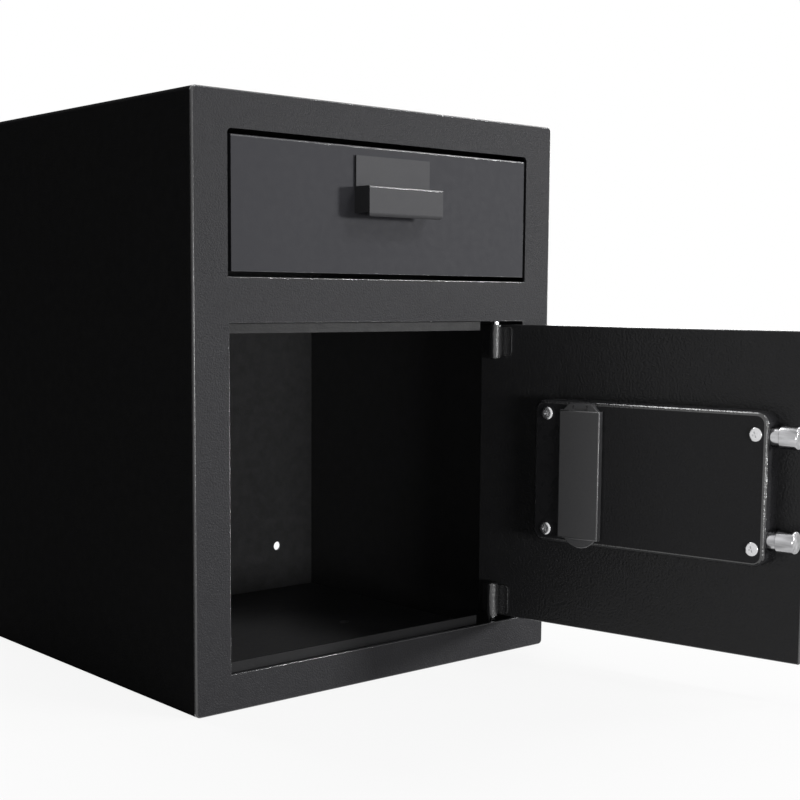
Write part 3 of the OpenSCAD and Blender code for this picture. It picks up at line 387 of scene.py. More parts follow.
    @classmethod
    def finish(cls, piece: Piece, place: Optional[Matrix] = None) -> Piece:
        """Carries a piece to its place, smooths its round faces and puts the place in its mesh.

        Args:
            piece: The object to finish.
            place: Matrix that carries it, or None where it is already there.

        Returns:
            The finished object.
        """
        if place is not None:
            piece.matrix_world = place
            cls.settle(piece)
        cls.pick(piece)
        bpy.ops.object.shade_smooth_by_angle(angle=math.radians(SMOOTH_DEG))
        return cls.modify(piece, "WEIGHTED_NORMAL", keep_sharp=True)


class Grain(Enum):
    """How the surface of a finish is worked."""

    PEEL = "orange peel of sprayed powder"
    FINE = "fine moulded grain"
    BRUSHED = "lines of rolling or turning"


@dataclass(frozen=True)
class Finish:
    """A procedural finish on object coordinates.

    Attributes:
        name: Name of the material.
        colour: Linear red, green and blue.
        roughness: Middle roughness.
        metallic: 1 for bare metal.
        grain: How the surface is worked.
        scale: Number of grains per metre.
        relief: Height of the grain in metres.
        spread: How far the roughness varies.
        tint: How far the colour varies, as a share.
        specular: Specular level.
        stretch: Stretch of the grain along X, Y and Z.
    """

    name: str
    colour: Point
    roughness: float = 0.4
    metallic: float = 0.0
    grain: Grain = Grain.PEEL
    scale: float = 420.0
    relief: float = 0.00008
    spread: float = 0.03
    tint: float = 0.05
    specular: float = 0.5
    stretch: Point = (1.0, 1.0, 1.0)

    def edge(self, roughness: float = 0.15, specular: float = 0.9, calm: float = 0.3) -> "Finish":
        """Gives the finish that the same paint has where the sheet is bent.

        Args:
            roughness: Roughness of the bend.
            specular: Specular level of the bend.
            calm: Height of the bend's grain, as a share of the sheet's.

        Returns:
            The finish of the bends.
        """
        return replace(self, name=self.name + "_bend", roughness=roughness, specular=specular,
                       relief=self.relief * calm)

    def build(self) -> bpy.types.Material:
        """Makes the node material.

        Returns:
            The new material.
        """
        material = bpy.data.materials.new(self.name)
        material.use_nodes = True
        tree = material.node_tree
        shader = tree.nodes["Principled BSDF"]
        shader.inputs["Metallic"].default_value = self.metallic
        shader.inputs["Specular IOR Level"].default_value = self.specular
        where = add_node(tree, "TexCoord")
        mapping = add_node(tree, "Mapping", Scale=self.stretch)
        tree.links.new(where.outputs["Object"], mapping.inputs["Vector"])
        fine = self._noise(tree, mapping, self.scale, 3.0)
        broad = self._noise(tree, mapping, self.scale / BROADER, 2.0)
        self._vary(tree, broad, shader, fine)
        bump = add_node(tree, "Bump", Strength=1.0, Distance=self.relief)
        tree.links.new(fine.outputs["Fac"], bump.inputs["Height"])
        tree.links.new(bump.outputs["Normal"], shader.inputs["Normal"])
        return material

    @staticmethod
    def _noise(tree: Tree, mapping: Node, scale: float, detail: float) -> Node:
        """Adds a noise texture.

        Args:
            tree: The material's node tree.
            mapping: The node that gives it places.
            scale: Number of grains per metre.
            detail: Number of finer layers.

        Returns:
            The texture's node.
        """
        noise = add_node(tree, "TexNoise", Scale=scale, Detail=detail, Roughness=NOISE_ROUGHNESS)
        tree.links.new(mapping.outputs["Vector"], noise.inputs["Vector"])
        return noise

    def _vary(self, tree: Tree, broad: Node, shader: Node, fine: Node) -> None:
        """Lets colour and roughness wander over the surface.

        Args:
            tree: The material's node tree.
            broad: Noise with the larger pattern.
            shader: The surface's shader.
            fine: Noise with the smaller pattern.
        """
        ramp = add_node(tree, "ValToRGB")
        shares = (1 - self.tint, 1 + self.tint)
        for stop, position, share in zip(ramp.color_ramp.elements, NOISE_RANGE, shares):
            stop.position = position
            stop.color = (*(min(1.0, c * share) for c in self.colour), 1.0)
        tree.links.new(broad.outputs["Fac"], ramp.inputs["Fac"])
        tree.links.new(ramp.outputs["Color"], shader.inputs["Base Color"])
        rough = add_node(tree, "MapRange", From_Min=NOISE_RANGE[0], From_Max=NOISE_RANGE[1],
                         To_Min=max(0.02, self.roughness - self.spread),
                         To_Max=min(1.0, self.roughness + self.spread))
        source = fine if self.grain is Grain.BRUSHED else broad
        tree.links.new(source.outputs["Fac"], rough.inputs["Value"])
        tree.links.new(rough.outputs["Result"], shader.inputs["Roughness"])


class Palette:
    """Every finish of the safe, each built once."""

    FRONT = Finish("front_powder_coat", (0.037, 0.0368, 0.0396), 0.32, scale=700.0, relief=0.00048,
                   specular=0.050)
    # Outer sides and top: the front's black powder coat, painted a little darker as painted shade on the
    # unlit sides.
    SHELL_PAINTED_SHADE = Finish("shell_coat_painted_shade", (0.032, 0.032, 0.033), 0.60, scale=600.0, relief=0.00022,
                   specular=0.0)
    # Inner faces of the shell: the same black powder coat painted over twice as light, as painted light
    # on the dim inside walls.
    WALL_PAINTED_LIGHT = Finish("inner_wall_coat_painted_light", (0.075, 0.075, 0.077), 0.40, scale=600.0, relief=0.00036,
                  specular=0.10)
    # Rear wall: the same black powder coat painted over twice as light, as painted light on the back
    # wall seen through the opening.
    BACK_PAINTED_LIGHT = Finish("back_coat_painted_light", (0.080, 0.080, 0.082), 0.50, scale=600.0, relief=0.00045,
                  tint=0.12, specular=0.06)
    INSIDE = Finish("inside_powder_coat", (0.022, 0.022, 0.023), 0.40, scale=500.0, relief=0.00014,
                    specular=0.08)
    DRAWER = Finish("drawer_satin_paint", (0.041, 0.0412, 0.0465), 0.48, scale=900.0, relief=0.00005,
                    tint=0.03, specular=0.06)
    # The pull: the drawer's satin paint painted lighter, a painted highlight standing in for the key
    # lamp's glint on it.
    HANDLE_PAINTED_HIGHLIGHT = Finish("handle_satin_painted_highlight", (0.074, 0.074, 0.078), 0.48, scale=900.0, relief=0.00005,
                    tint=0.03, specular=0.06)
    DOOR = Finish("door_gloss_coat", (0.040, 0.040, 0.042), 0.20, scale=500.0, relief=0.00055,
                  specular=0.15)
    COVER = Finish("cover_paint", (0.025, 0.025, 0.027), 0.28, scale=600.0, relief=0.00020,
                   specular=0.15)
    BRACKET = Finish("bracket_paint", (0.035, 0.035, 0.037), 0.12, scale=600.0, relief=0.00040,
                     specular=0.90)
    # Battery lid: colour raised to about twice its plastic's own tone, as painted light on its face and
    # side.
    LID = Finish("lid_plastic", (0.095, 0.095, 0.099), 0.36, grain=Grain.FINE, scale=2600.0,
                 relief=0.00002, specular=0.60)
    HOUSING = Finish("housing_plastic", (0.030, 0.030, 0.032), 0.42, grain=Grain.FINE, scale=2400.0,
                     relief=0.00003)
    KEY = Finish("key_plastic", (0.35, 0.35, 0.36), 0.40, grain=Grain.FINE, scale=2000.0,
                 relief=0.00001)
    INK = Finish("printed_ink", (0.014, 0.014, 0.016), 0.50, grain=Grain.FINE, scale=2000.0,
                 relief=0.000005)
    MARK = Finish("white_mark", (0.72, 0.72, 0.70), 0.45, grain=Grain.FINE, scale=2000.0,
                  relief=0.000005)
    ZINC = Finish("zinc_plate", (0.60, 0.60, 0.60), 0.30, 1.0, Grain.BRUSHED, 500.0, 0.00001, 0.10, 0.06)
    TRAY = Finish("tray_paint", (0.060, 0.060, 0.062), 0.42, scale=700.0, relief=0.00003, tint=0.06)
    BOLT = Finish("bolt_chrome", (0.44, 0.44, 0.45), 0.14, 1.0, Grain.BRUSHED, 900.0, 0.000008, 0.05,
                  0.40, stretch=(1.0, 0.06, 1.0))
    SCREW = Finish("screw_steel", (0.66, 0.66, 0.67), 0.24, 1.0, Grain.BRUSHED, 900.0, 0.000006, 0.06,
                   0.04)
    BOARD = Finish("board_mask", (0.02, 0.11, 0.04), 0.35, grain=Grain.FINE, scale=1500.0,
                   relief=0.00001)
    CELL = Finish("cell_sleeve", (0.55, 0.33, 0.06), 0.30, 0.4, Grain.FINE, 900.0, 0.000004)
    RUBBER = Finish("cable_sheath", (0.015, 0.015, 0.015), 0.55, grain=Grain.FINE, scale=1500.0,
                    relief=0.00002)
    LENS = Finish("lamp_lens", (0.16, 0.42, 0.14), 0.12, grain=Grain.FINE, scale=900.0, relief=0.000004)
    BRASS = Finish("brass", (0.70, 0.50, 0.22), 0.25, 1.0, Grain.BRUSHED, 900.0, 0.000006)
    COIL = Finish("coil_wire", (0.45, 0.22, 0.10), 0.35, 0.6, Grain.BRUSHED, 700.0, 0.00003)

    def __init__(self) -> None:
        """Starts with no material made."""
        self._made: Dict[Finish, bpy.types.Material] = {}

    def __getitem__(self, finish: Finish) -> bpy.types.Material:
        """Gives a finish's material, made on first use."""
        if finish not in self._made:
            self._made[finish] = finish.build()
        return self._made[finish]

    def dress(self, piece: Piece, finish: Finish, bends: Optional[Finish] = None) -> None:
        """Puts one finish on the whole of a piece, or another one on its marked faces.

        Args:
            piece: The object to dress.
            finish: The finish that it gets.
            bends: The finish of the marked faces, or None where they are like the rest.
        """
        wanted = [finish] if bends is None else [finish, bends]
        while len(piece.material_slots) < len(wanted):
            piece.data.materials.append(self[finish])
        for k, place in enumerate(piece.material_slots):
            place.material = self[wanted[min(k, len(wanted) - 1)]]


@dataclass
class Shop:
    """What every sub-assembly needs: the palette, and how a piece is entered in the frame."""

    palette: Palette = field(default_factory=Palette)

    def enter(self, piece: Piece, body: Union[Body, str], finish: Finish, slot: str,
              nodes: Sequence[str] = (), bends: Optional[Finish] = None) -> None:
        """Dresses a new piece and says where it belongs.

        Args:
            piece: The finished mesh.
            body: The group that it moves with, or the name of a key's own.
            finish: Its finish.
            slot: The record's material slot; not used.
            nodes: The CAD nodes that it stands for.
            bends: The finish of its marked faces, where they differ.
        """
        self.palette.dress(piece, finish, bends)
        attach(piece, body.value if isinstance(body, Body) else body)
        if nodes:
            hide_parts(*nodes)
        LOG.info("made %s (%d faces)", piece.name, len(piece.data.polygons))

    def dress_nodes(self, finish: Finish, *names: str) -> None:
        """Gives CAD nodes that stay in sight a procedural finish.

        Args:
            finish: Their finish.
            *names: Names of the nodes.
        """
        for name in names:
            self.palette.dress(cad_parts[name], finish)
            LOG.info("dressed %s in %s", name, finish.name)


@dataclass
class Assembly:
    """A sub-assembly of the safe, with the palette and frame entries that it uses."""

    shop: Shop

    def build(self) -> None:
        """Makes and dresses the pieces, each sub-assembly in its own way."""
        raise NotImplementedError


@dataclass
class DoorAssembly(Assembly):
    """A sub-assembly in the door's axes, with the matrix that carries it to the open door."""

    place: Matrix


@dataclass
class Cabinet(Assembly):
    """Steel body: the face plate with its two openings, and the shell behind it."""

    half_w: float = 200.0
    front: float = -187.5
    back: float = 187.5
    height: float = 500.0
    sheet: float = 3.0
    open_half: float = 166.0
    door_z: Pair = (31.0, 317.0)
    drawer_half: float = 167.5
    drawer_z: Pair = (354.0, 470.0)
    drawer_corner: float = 4.0
    outline_r: float = 4.0
    fold: float = 1.2
    lip: float = 0.7
    cut_over: float = 7.0
    hole_d: float = 10.0
    back_holes: Pair = (148.0, 52.0)
    floor_hole: float = 100.0

    def _outer(self, p: Vector) -> bool:
        """Says whether a point is on the body's outline, seen from the front."""
        reach = self.outline_r + 1.0
        return abs(p.x) > self.half_w - reach or p.z < reach or p.z > self.height - reach

    def _slab(self, name: str, front: float, back: float) -> Piece:
        """Adds a block with the body's outline, whose four long edges are rounded.

        Args:
            name: Name of the new piece.
            front: Y of its front.
            back: Y of its back.

        Returns:
            The new block.
        """
        slab = Bench.block(name, (-self.half_w, front, 0.0), (self.half_w, back, self.height))
        Bench.corners(slab, (-self.half_w, self.half_w), (0.0, self.height), self.outline_r, 5)
        return slab

    def face(self) -> Piece:
        """Makes the face plate.

        Returns:
            The finished plate.
        """
        front, rear, over = self.front, self.front + self.sheet, self.cut_over
        plate = self._slab("face_plate", front, rear)
        cuts = [Bench.block("cut", (-half, front - over, z[0]), (half, rear + over, z[1]))
                for half, z in ((self.open_half, self.door_z), (self.drawer_half, self.drawer_z))]
        for x in (-self.drawer_half, self.drawer_half):
            Bench.round(cuts[1], on(x=x, z=self.drawer_z[1]), self.drawer_corner, 5)
        Bench.combine(plate, cuts)
        Bench.round(plate, lambda p: self._outer(p) and near(p.y, front), self.fold, 4)
        Bench.round(plate, on(y=front, z=self.drawer_z[0]), self.lip)
        Bench.round(plate, lambda p: near(p.y, front) and p.z < self.door_z[1] + 1.0
                    and not self._outer(p), self.lip)
        return Bench.finish(Bench.mark_bends(plate))

    def shell(self) -> Piece:
        """Makes the top, the floor and the side walls, with the anchor holes in the floor.

        Returns:
            The finished shell, whose inner faces are marked.
        """
        s = self.sheet
        walls = self._slab("cabinet_shell", self.front + s, self.back - s)
        hollow = Bench.block("hollow", (-self.half_w + s, self.front - s, s),
                             (self.half_w - s, self.back + s, self.height - s))
        holes = [Bench.drill((side * self.floor_hole, 0.0, -s), ALONG_Z, self.hole_d, 3 * s)
                 for side in (-1, 1)]
        Bench.combine(walls, [hollow] + holes)
        # Inner faces take the second slot, the lighter copy of the coat that is painted light.
        for face in walls.data.polygons:
            x, _, z = face.center / MM
            face.material_index = int(abs(x) < self.half_w - s / 2 and s / 2 < z < self.height - s / 2)
        return Bench.finish(walls)

    def rear(self) -> Piece:
        """Makes the rear wall, with its two anchor holes.

        Returns:
            The finished wall.
        """
        s, (x, z) = self.sheet, self.back_holes
        wall = self._slab("rear_wall", self.back - s, self.back)
        Bench.round(wall, on(y=self.back), self.fold, 4)
        Bench.combine(wall, [Bench.drill((side * x, self.back - 2 * s, z), ALONG_Y, self.hole_d, 3 * s)
                             for side in (-1, 1)])
        return Bench.finish(wall)

    def build(self) -> None:
        """Makes and dresses the body."""
        shop = self.shop
        shop.enter(self.face(), Body.SAFE, Palette.FRONT, "powder_coat", ["front_frame"],
                   Palette.FRONT.edge())
        # The shell's outside takes a darker copy of the coat (painted shade), its inner faces a lighter
        # copy (painted light).
        shop.enter(self.shell(), Body.SAFE, Palette.SHELL_PAINTED_SHADE, "powder_coat", ["body_shell"], Palette.WALL_PAINTED_LIGHT)
        # The rear wall's lighter coat is painted light.
        shop.enter(self.rear(), Body.SAFE, Palette.BACK_PAINTED_LIGHT, "powder_coat", ["back_panel"])
        shop.dress_nodes(Palette.INSIDE, "door_stop_top", "door_stop_bottom", "latch_strike",
                         "fish_baffle")
        shop.dress_nodes(Palette.BRACKET, "hinge_lug_top", "hinge_lug_bottom")
        shop.dress_nodes(Palette.ZINC, "runner_left", "runner_right")
        shop.dress_nodes(Palette.BOLT, "hinge_pin_top", "hinge_pin_bottom")


@dataclass
class Drawer(Assembly):
    """Deposit drawer: the folded front, the bent pull and the tray behind them."""

    face_low: Point = (-164.2, -187.5, 358.2)
    face_high: Point = (164.2, -173.5, 465.8)
    sheet: float = 2.0
    bend: float = 1.6
    fold: float = 0.3
    pull_x: Pair = (-39.0, 44.0)
    pull_out: float = 20.0
    plate_z: Pair = (429.6, 457.6)
    lip_z: float = 405.6
    lip_corner: float = 4.0
    pull_bend: float = 1.4
    pull_edge: float = 0.35
    pull_edge_deg: float = 30.0

    def panel(self) -> Piece:
        """Makes the drawer's folded front.

        Returns:
            The finished front.
        """
        low, high, t = self.face_low, self.face_high, self.sheet
        pan = Bench.block("drawer_panel", low, high)
        Bench.round(pan, on(y=low[1], z=high[2]), self.bend, 4)
        Bench.round(pan, on(y=low[1], z=low[2]), self.fold, 2)
        Bench.combine(pan, [Bench.block("hollow", (low[0] + t, low[1] + t, low[2] + t),
                                        (high[0] - t, high[1] + t, high[2] - t))])
        Bench.round(pan, on(y=high[1]), self.fold, 2)
        return Bench.finish(Bench.mark_bends(pan))

    def pull(self) -> Piece:
        """Makes the bent pull: a back plate, a shelf, a lip and two cheeks.

        Returns:
            The finished pull.
        """
        t, (x0, x1), (z0, z1) = self.sheet, self.pull_x, self.plate_z
        y = self.face_low[1]
        out, low_z = y - self.pull_out, self.lip_z - t
        hood = Bench.block("drawer_pull", (x0, out, self.lip_z), (x1, y, z0 + t))
        Bench.round(hood, on(z=self.lip_z), self.lip_corner, 5)
        inner = Bench.block("inner", (x0 + t, out + t, low_z), (x1 - t, y + t, z0))
        below = Bench.block("below", (x0 - t, out + t, low_z),
                            (x1 + t, y + t, self.lip_z + self.lip_corner))
        Bench.combine(hood, [inner, below])
        Bench.round(hood, on(y=out, z=z0 + t), self.pull_bend, 4)
        Bench.combine(hood, [Bench.block("plate", (x0, y - t, z0), (x1, y, z1))], "UNION")
        Bench.modify(hood, "BEVEL", width=self.pull_edge * MM, segments=2, limit_method="ANGLE",
                     angle_limit=math.radians(self.pull_edge_deg), use_clamp_overlap=True)
        return Bench.finish(Bench.mark_bends(hood, -0.1))

    def build(self) -> None:
        """Makes and dresses the drawer."""
        # The pull's lighter paint is a painted highlight.
        for piece, finish, node in ((self.panel, Palette.DRAWER, "drawer_front"),
                                    (self.pull, Palette.HANDLE_PAINTED_HIGHLIGHT, "drawer_handle")):
            self.shop.enter(piece(), Body.DRAWER, finish, "powder_coat", [node], finish.edge())
        self.shop.dress_nodes(Palette.TRAY, "drawer_tray")
        self.shop.dress_nodes(Palette.ZINC, "drawer_rails")


@dataclass
class Door(Assembly):
    """Door plate and hinge brackets, shaped closed and swung open about the pins."""

    pin: Pair = (143.0, -174.5)
    corner: Point = (-164.0, -181.5, 34.0)
    open_deg: float = 101.5
    width: float = 328.0
    height: float = 280.0
    plate: float = 6.0
    edge_r: float = 1.0
    cut_over: float = 2.0
    pin_u: float = 307.0
    pin_h: float = 7.0
    barrel_d: float = 11.5
    barrel_len: float = 33.0
    barrel_foot: Pair = (0.4, 0.8)
    barrel_dome: Tuple[Pair, ...] = ((0.0, 4.0), (0.5, 2.2), (1.2, 0.9), (2.0, 0.0))
    bore_d: float = 7.1
    blind: float = 26.0
    leaf: Point = (30.0, 2.0, 28.0)
    leaf_r: float = 4.0
    leaf_edge: float = 0.6
    leaf_end: float = 2.0
    saddle_inset: float = 1.0
    saddle_edge: float = 0.4
    holes: Tuple[Point, ...] = ((116.0, 149.0, 8.1), (162.5, 188.0, 16.2))

    @property
    def place(self) -> Matrix:
        """Matrix that carries door axes to where the door stands open."""
        pivot = Vector((self.pin[0], self.pin[1], 0.0)) * MM
        swing = Matrix.Rotation(math.radians(self.open_deg), 4, "Z")
        closed = Matrix.Translation(Vector(self.corner) * MM)
        return Matrix.Translation(pivot) @ swing @ Matrix.Translation(-pivot) @ closed

    def panel(self) -> Piece:
        """Makes the drilled plate of the door.

        Returns:
            The finished plate.
        """
        plate = Bench.block("door_panel", (0.0, -self.plate, 0.0), (self.width, 0.0, self.height))
        Bench.round(plate, lambda p: True, self.edge_r, 4)
        start, reach = -self.plate - self.cut_over, self.plate + 2 * self.cut_over
        Bench.combine(plate, [Bench.drill((u, start, v), ALONG_Y, d, reach) for u, v, d in self.holes])
        return Bench.finish(Bench.mark_bends(plate), self.place)

    def bracket(self, name: str, upper: bool) -> Piece:
        """Makes one bracket: a leaf, a saddle and a barrel.

        Args:
            name: Name of the piece.
            upper: True for the open barrel at the top, False for the blind one below.

        Returns:
            The finished bracket.
        """
        width, thick, tall = self.leaf
        u0 = self.pin_u - width / 2
        low_v = self.height - tall - self.leaf_end if upper else self.leaf_end
        leaf = Bench.block(name, (u0, 0.0, low_v), (u0 + width, thick, low_v + tall))
        Bench.corners(leaf, (u0, u0 + width), (low_v, low_v + tall), self.leaf_r, 6)
        Bench.round(leaf, on(y=thick), self.leaf_edge, 2)
        inset, third = self.saddle_inset, self.barrel_d / 3
        saddle = Bench.block("saddle", (self.pin_u - third, thick - inset, low_v + inset),
                             (self.pin_u + third, self.pin_h, low_v + tall - inset))
        Bench.round(saddle, on(z=low_v + inset), self.saddle_edge, 2)
        d, full = self.barrel_d, self.barrel_len
        dome = [(h, d - less) for h, less in self.barrel_dome]
        foot, foot_less = self.barrel_foot
        if upper:
            base, profile = self.height - full, dome + [(full - foot, d), (full, d - foot_less)]
        else:
            base = 0.0
            profile = [(0.0, d - foot_less), (foot, d)] + [(full - h, w) for h, w in reversed(dome)]
        barrel = Bench.turned("barrel", (self.pin_u, self.pin_h, base), ALONG_Z, profile)
        Bench.combine(leaf, [saddle, barrel], "UNION")
        over = self.cut_over
        start = (self.pin_u, self.pin_h, base - over)
        reach = full + 2 * over if upper else self.blind + over
        Bench.combine(leaf, [Bench.drill(start, ALONG_Z, self.bore_d, reach)])
        return Bench.finish(leaf, self.place)

    def build(self) -> None:
        """Makes and dresses the door."""
        self.shop.enter(self.panel(), Body.DOOR, Palette.DOOR, "door_coat", ["door_plate"],
                        Palette.DOOR.edge())
        for name, node, upper in (("bracket_upper", "hinge_bracket_top", True),
                                  ("bracket_lower", "hinge_bracket_bottom", False)):
            self.shop.enter(self.bracket(name, upper), Body.DOOR, Palette.BRACKET, "door_coat", [node])


@dataclass
class LockCover(DoorAssembly):
    """Pressed cover over the lock, its screws and the lid of the battery bay."""

    u: Pair = (24.5, 251.5)
    v: Pair = (83.0, 213.0)
    depth: float = 24.0
    wall: float = 1.5
    corner: float = 10.0
    fillet: float = 3.2
    rim: float = 0.4
    bolt_v: Pair = (105.5, 192.5)
    bolt_h: float = 12.0
    bolt_hole_d: float = 17.0
    screws: Tuple[Pair, ...] = ((34.5, 98.4), (34.5, 194.4), (236.5, 95.0), (236.5, 201.0))
    screw_hole_d: float = 4.5
    screw_head_d: float = 11.5
    screw_rise: float = 2.6
    shank: Pair = (3.9, 6.0)
    cross: Point = (2.7, 0.55, 1.5)
    cross_deg: float = 20.0
    bay_u: Pair = (182.0, 219.0)
    bay_v: Pair = (93.2, 202.8)
    lid_u: Pair = (179.8, 221.2)
    lid_v: Pair = (88.9, 205.3)
    lid_rise: float = 6.0
    lid_wall: float = 1.0
    lid_edge: float = 1.2
    lid_lip_d: float = 40.0
    lid_lip_v: float = 100.5
    tab_drop: float = 1.5
    tab_rise: float = 6.1
    tab_inset: float = 9.4
    tab_side: float = 0.6
    tab_lap: float = 2.0
    tab_edge: float = 0.5
    slot: Point = (14.0, 3.5, 2.4)
    slot_lap: float = 0.2
    notch: Point = (1.8, 1.4, 2.4)
    notch_gap: float = 0.3

    def cover(self) -> Piece:
        """Makes the pressed cover.

        Returns:
            The finished cover.
        """
        w, depth = self.wall, self.depth
        shell = Bench.tub("lock_box", self.u, self.v, depth, 0.0, w, self.corner, self.fillet, 5)
        cuts = [Bench.block("bay", (self.bay_u[0], depth - 4 * w, self.bay_v[0]),
                            (self.bay_u[1], depth + w, self.bay_v[1]))]
        cuts += [Bench.drill((self.u[0] - w, self.bolt_h, v), ALONG_X, self.bolt_hole_d, 3 * w)
                 for v in self.bolt_v]
        cuts += [Bench.drill((u, depth - 3 * w, v), ALONG_Y, self.screw_hole_d, 5 * w, SMALL_SIDES)
                 for u, v in self.screws]
        Bench.combine(shell, cuts)
        Bench.round(shell, on(y=0.0), self.rim, 2)
        return Bench.finish(Bench.mark_bends(shell, -0.3), self.place)

    def screw(self) -> Piece:
        """Makes one pan-head screw with a cross recess, with its axis at u = v = 0.

        Returns:
            The screw, not yet in place.
        """
        d, base, top = self.screw_head_d, self.depth, self.depth + self.screw_rise
        shank_d, shank_len = self.shank
        head = Bench.turned("cover_screw", (0, 0, 0), ALONG_Y, [
            (base - shank_len, shank_d), (base - 0.02, shank_d), (base, d - 0.6), (base + 0.3, d),
            (top - 0.7, d), (top - 0.35, d - 0.7), (top - 0.1, d - 2.2), (top, d - 4.6)], HOLE_SIDES)
        half, thin, deep = self.cross
        cross: List[Piece] = []
        for turn in (self.cross_deg, self.cross_deg + 90.0):
            bar = Bench.block("bar", (-half, top - deep, -thin), (half, top + 1.0, thin))
            bar.matrix_world = Matrix.Rotation(math.radians(turn), 4, "Y")
            cross.append(Bench.settle(bar))
        return Bench.combine(head, cross)

    def lid(self) -> Piece:
        """Makes the battery lid: a bevelled slab, a narrowing upper end, a latch slot and a round lip.

        Returns:
            The finished lid.
        """
        (u0, u1), (v0, v1), h0 = self.lid_u, self.lid_v, self.depth
        h1, mid, side_in, t = h0 + self.lid_rise, (u0 + u1) / 2, self.tab_side, self.lid_wall
        slab = Bench.block("bay_lid", (u0, h0, v0), (u1, h1, v1))
        Bench.round(slab, on(y=h1), self.lid_edge)
        tab_top = h1 - self.tab_drop
        tab = Bench.block("tab", (u0 + side_in, h0, v1 - self.tab_lap),
                          (u1 - side_in, tab_top, v1 + self.tab_rise))
        Bench.choose_faces(tab, lambda n: n.z > 0.9)
        narrow = (u1 - u0 - 2 * self.tab_inset) / (u1 - u0 - 2 * side_in)
        bpy.ops.transform.resize(value=(narrow, 1.0, 1.0), center_override=(mid * MM, 0.0, v1 * MM))
        bpy.ops.object.mode_set(mode="OBJECT")
        Bench.round(tab, on(y=tab_top), self.tab_edge, 2)
        lip = Bench.turned("lip", (mid, h0, self.lid_lip_v), ALONG_Y, [
            (0.0, self.lid_lip_d), (1.5, self.lid_lip_d), (2.0, self.lid_lip_d - 1.0)])
        Bench.combine(slab, [tab, lip], "UNION")
        half, foot = self.slot[0] / 2, v1 - self.slot_lap
        head = foot + self.slot[2]
        cuts = [Bench.block("hollow", (u0 + t, h0 - t, v0 + t), (u1 - t, h1 - t, v1 - t)),
                Bench.block("slot", (mid - half, h1 - self.slot[1], foot), (mid + half, h1 + 1.0, head))]
        wide, deep, tall = self.notch
        cuts += [Bench.block("notch", (u - wide / 2, tab_top - deep, head + self.notch_gap),
                             (u + wide / 2, h1, head + tall)) for u in (mid - half, mid + half)]
        Bench.combine(slab, cuts)
        return Bench.finish(Bench.mark_bends(slab), self.place)

    def build(self) -> None:
        """Makes and dresses the cover and all that is under it."""
        shop = self.shop
        shop.enter(self.cover(), Body.DOOR, Palette.COVER, "cover_coat", ["lock_cover"],
                   Palette.COVER.edge(0.08, 1.0, 2.0))
        first = self.screw()
        screws = [Bench.copy(first, f"pan_screw_{k}", (u, 0.0, v))
                  for k, (u, v) in enumerate(self.screws, 1)]
        bpy.data.objects.remove(first, do_unlink=True)
        for screw in screws:
            shop.enter(Bench.finish(screw, self.place), Body.DOOR, Palette.SCREW, "zinc_steel",
                       ["cover_screws"])
        # The lid's raised colour is painted light.
        shop.enter(self.lid(), Body.LID, Palette.LID, "lid_plastic", ["battery_cover"],
                   Palette.LID.edge(0.22, 1.0))
        shop.dress_nodes(Palette.HOUSING, "battery_box")
        shop.dress_nodes(Palette.CELL, "battery_cells")
        shop.dress_nodes(Palette.ZINC, "cover_posts", "battery_contacts", "bolt_guide",
                         "carriage_studs", "bolt_carriage", "drive_cam", "knob_spindle",
                         "override_lock", "override_tail", "solenoid_plunger", "plunger_spring",
                         "bolt_screws")
        shop.dress_nodes(Palette.COIL, "solenoid")
        shop.dress_nodes(Palette.BOARD, "circuit_board", "keypad_board")
        shop.dress_nodes(Palette.RUBBER, "keypad_cable")
        shop.dress_nodes(Palette.BRASS, "override_plug")


@dataclass
class BoltPair(DoorAssembly):
    """The two turned bolts, drawn into the door."""

    axes_v: Pair = (105.5, 192.5)
    axis_h: float = 12.0
    tip_u: float = 0.5
    head: Pair = (20.0, 16.0)
    neck_d: float = 16.0
    root_u: float = 62.0
    tapped: Point = (6.0, 14.0, 16.0)

    def build(self) -> None:
        """Makes and dresses both bolts."""
        d, length = self.head
        neck, end = self.neck_d, self.root_u - self.tip_u
        profile = [(0.0, d - 4.0), (0.25, d - 2.6), (0.8, d - 1.2), (1.6, d - 0.35), (2.6, d),
                   (length - 0.6, d), (length - 0.15, d - 0.5), (length, d - 1.4),
                   (length + 0.02, neck), (end, neck)]
        hole_d, deep, reach = self.tapped
        for name, v in zip(("bolt_lower", "bolt_upper"), self.axes_v):
            bolt = Bench.turned("chrome_" + name, (self.tip_u, self.axis_h, v), ALONG_X, profile, 72)
            start = (self.root_u - deep, self.axis_h, v)
            Bench.combine(bolt, [Bench.drill(start, ALONG_X, hole_d, reach, SMALL_SIDES)])
            self.shop.enter(Bench.finish(bolt, self.place), Body.BOLTS, Palette.BOLT, "bolt_steel",
                            [name])


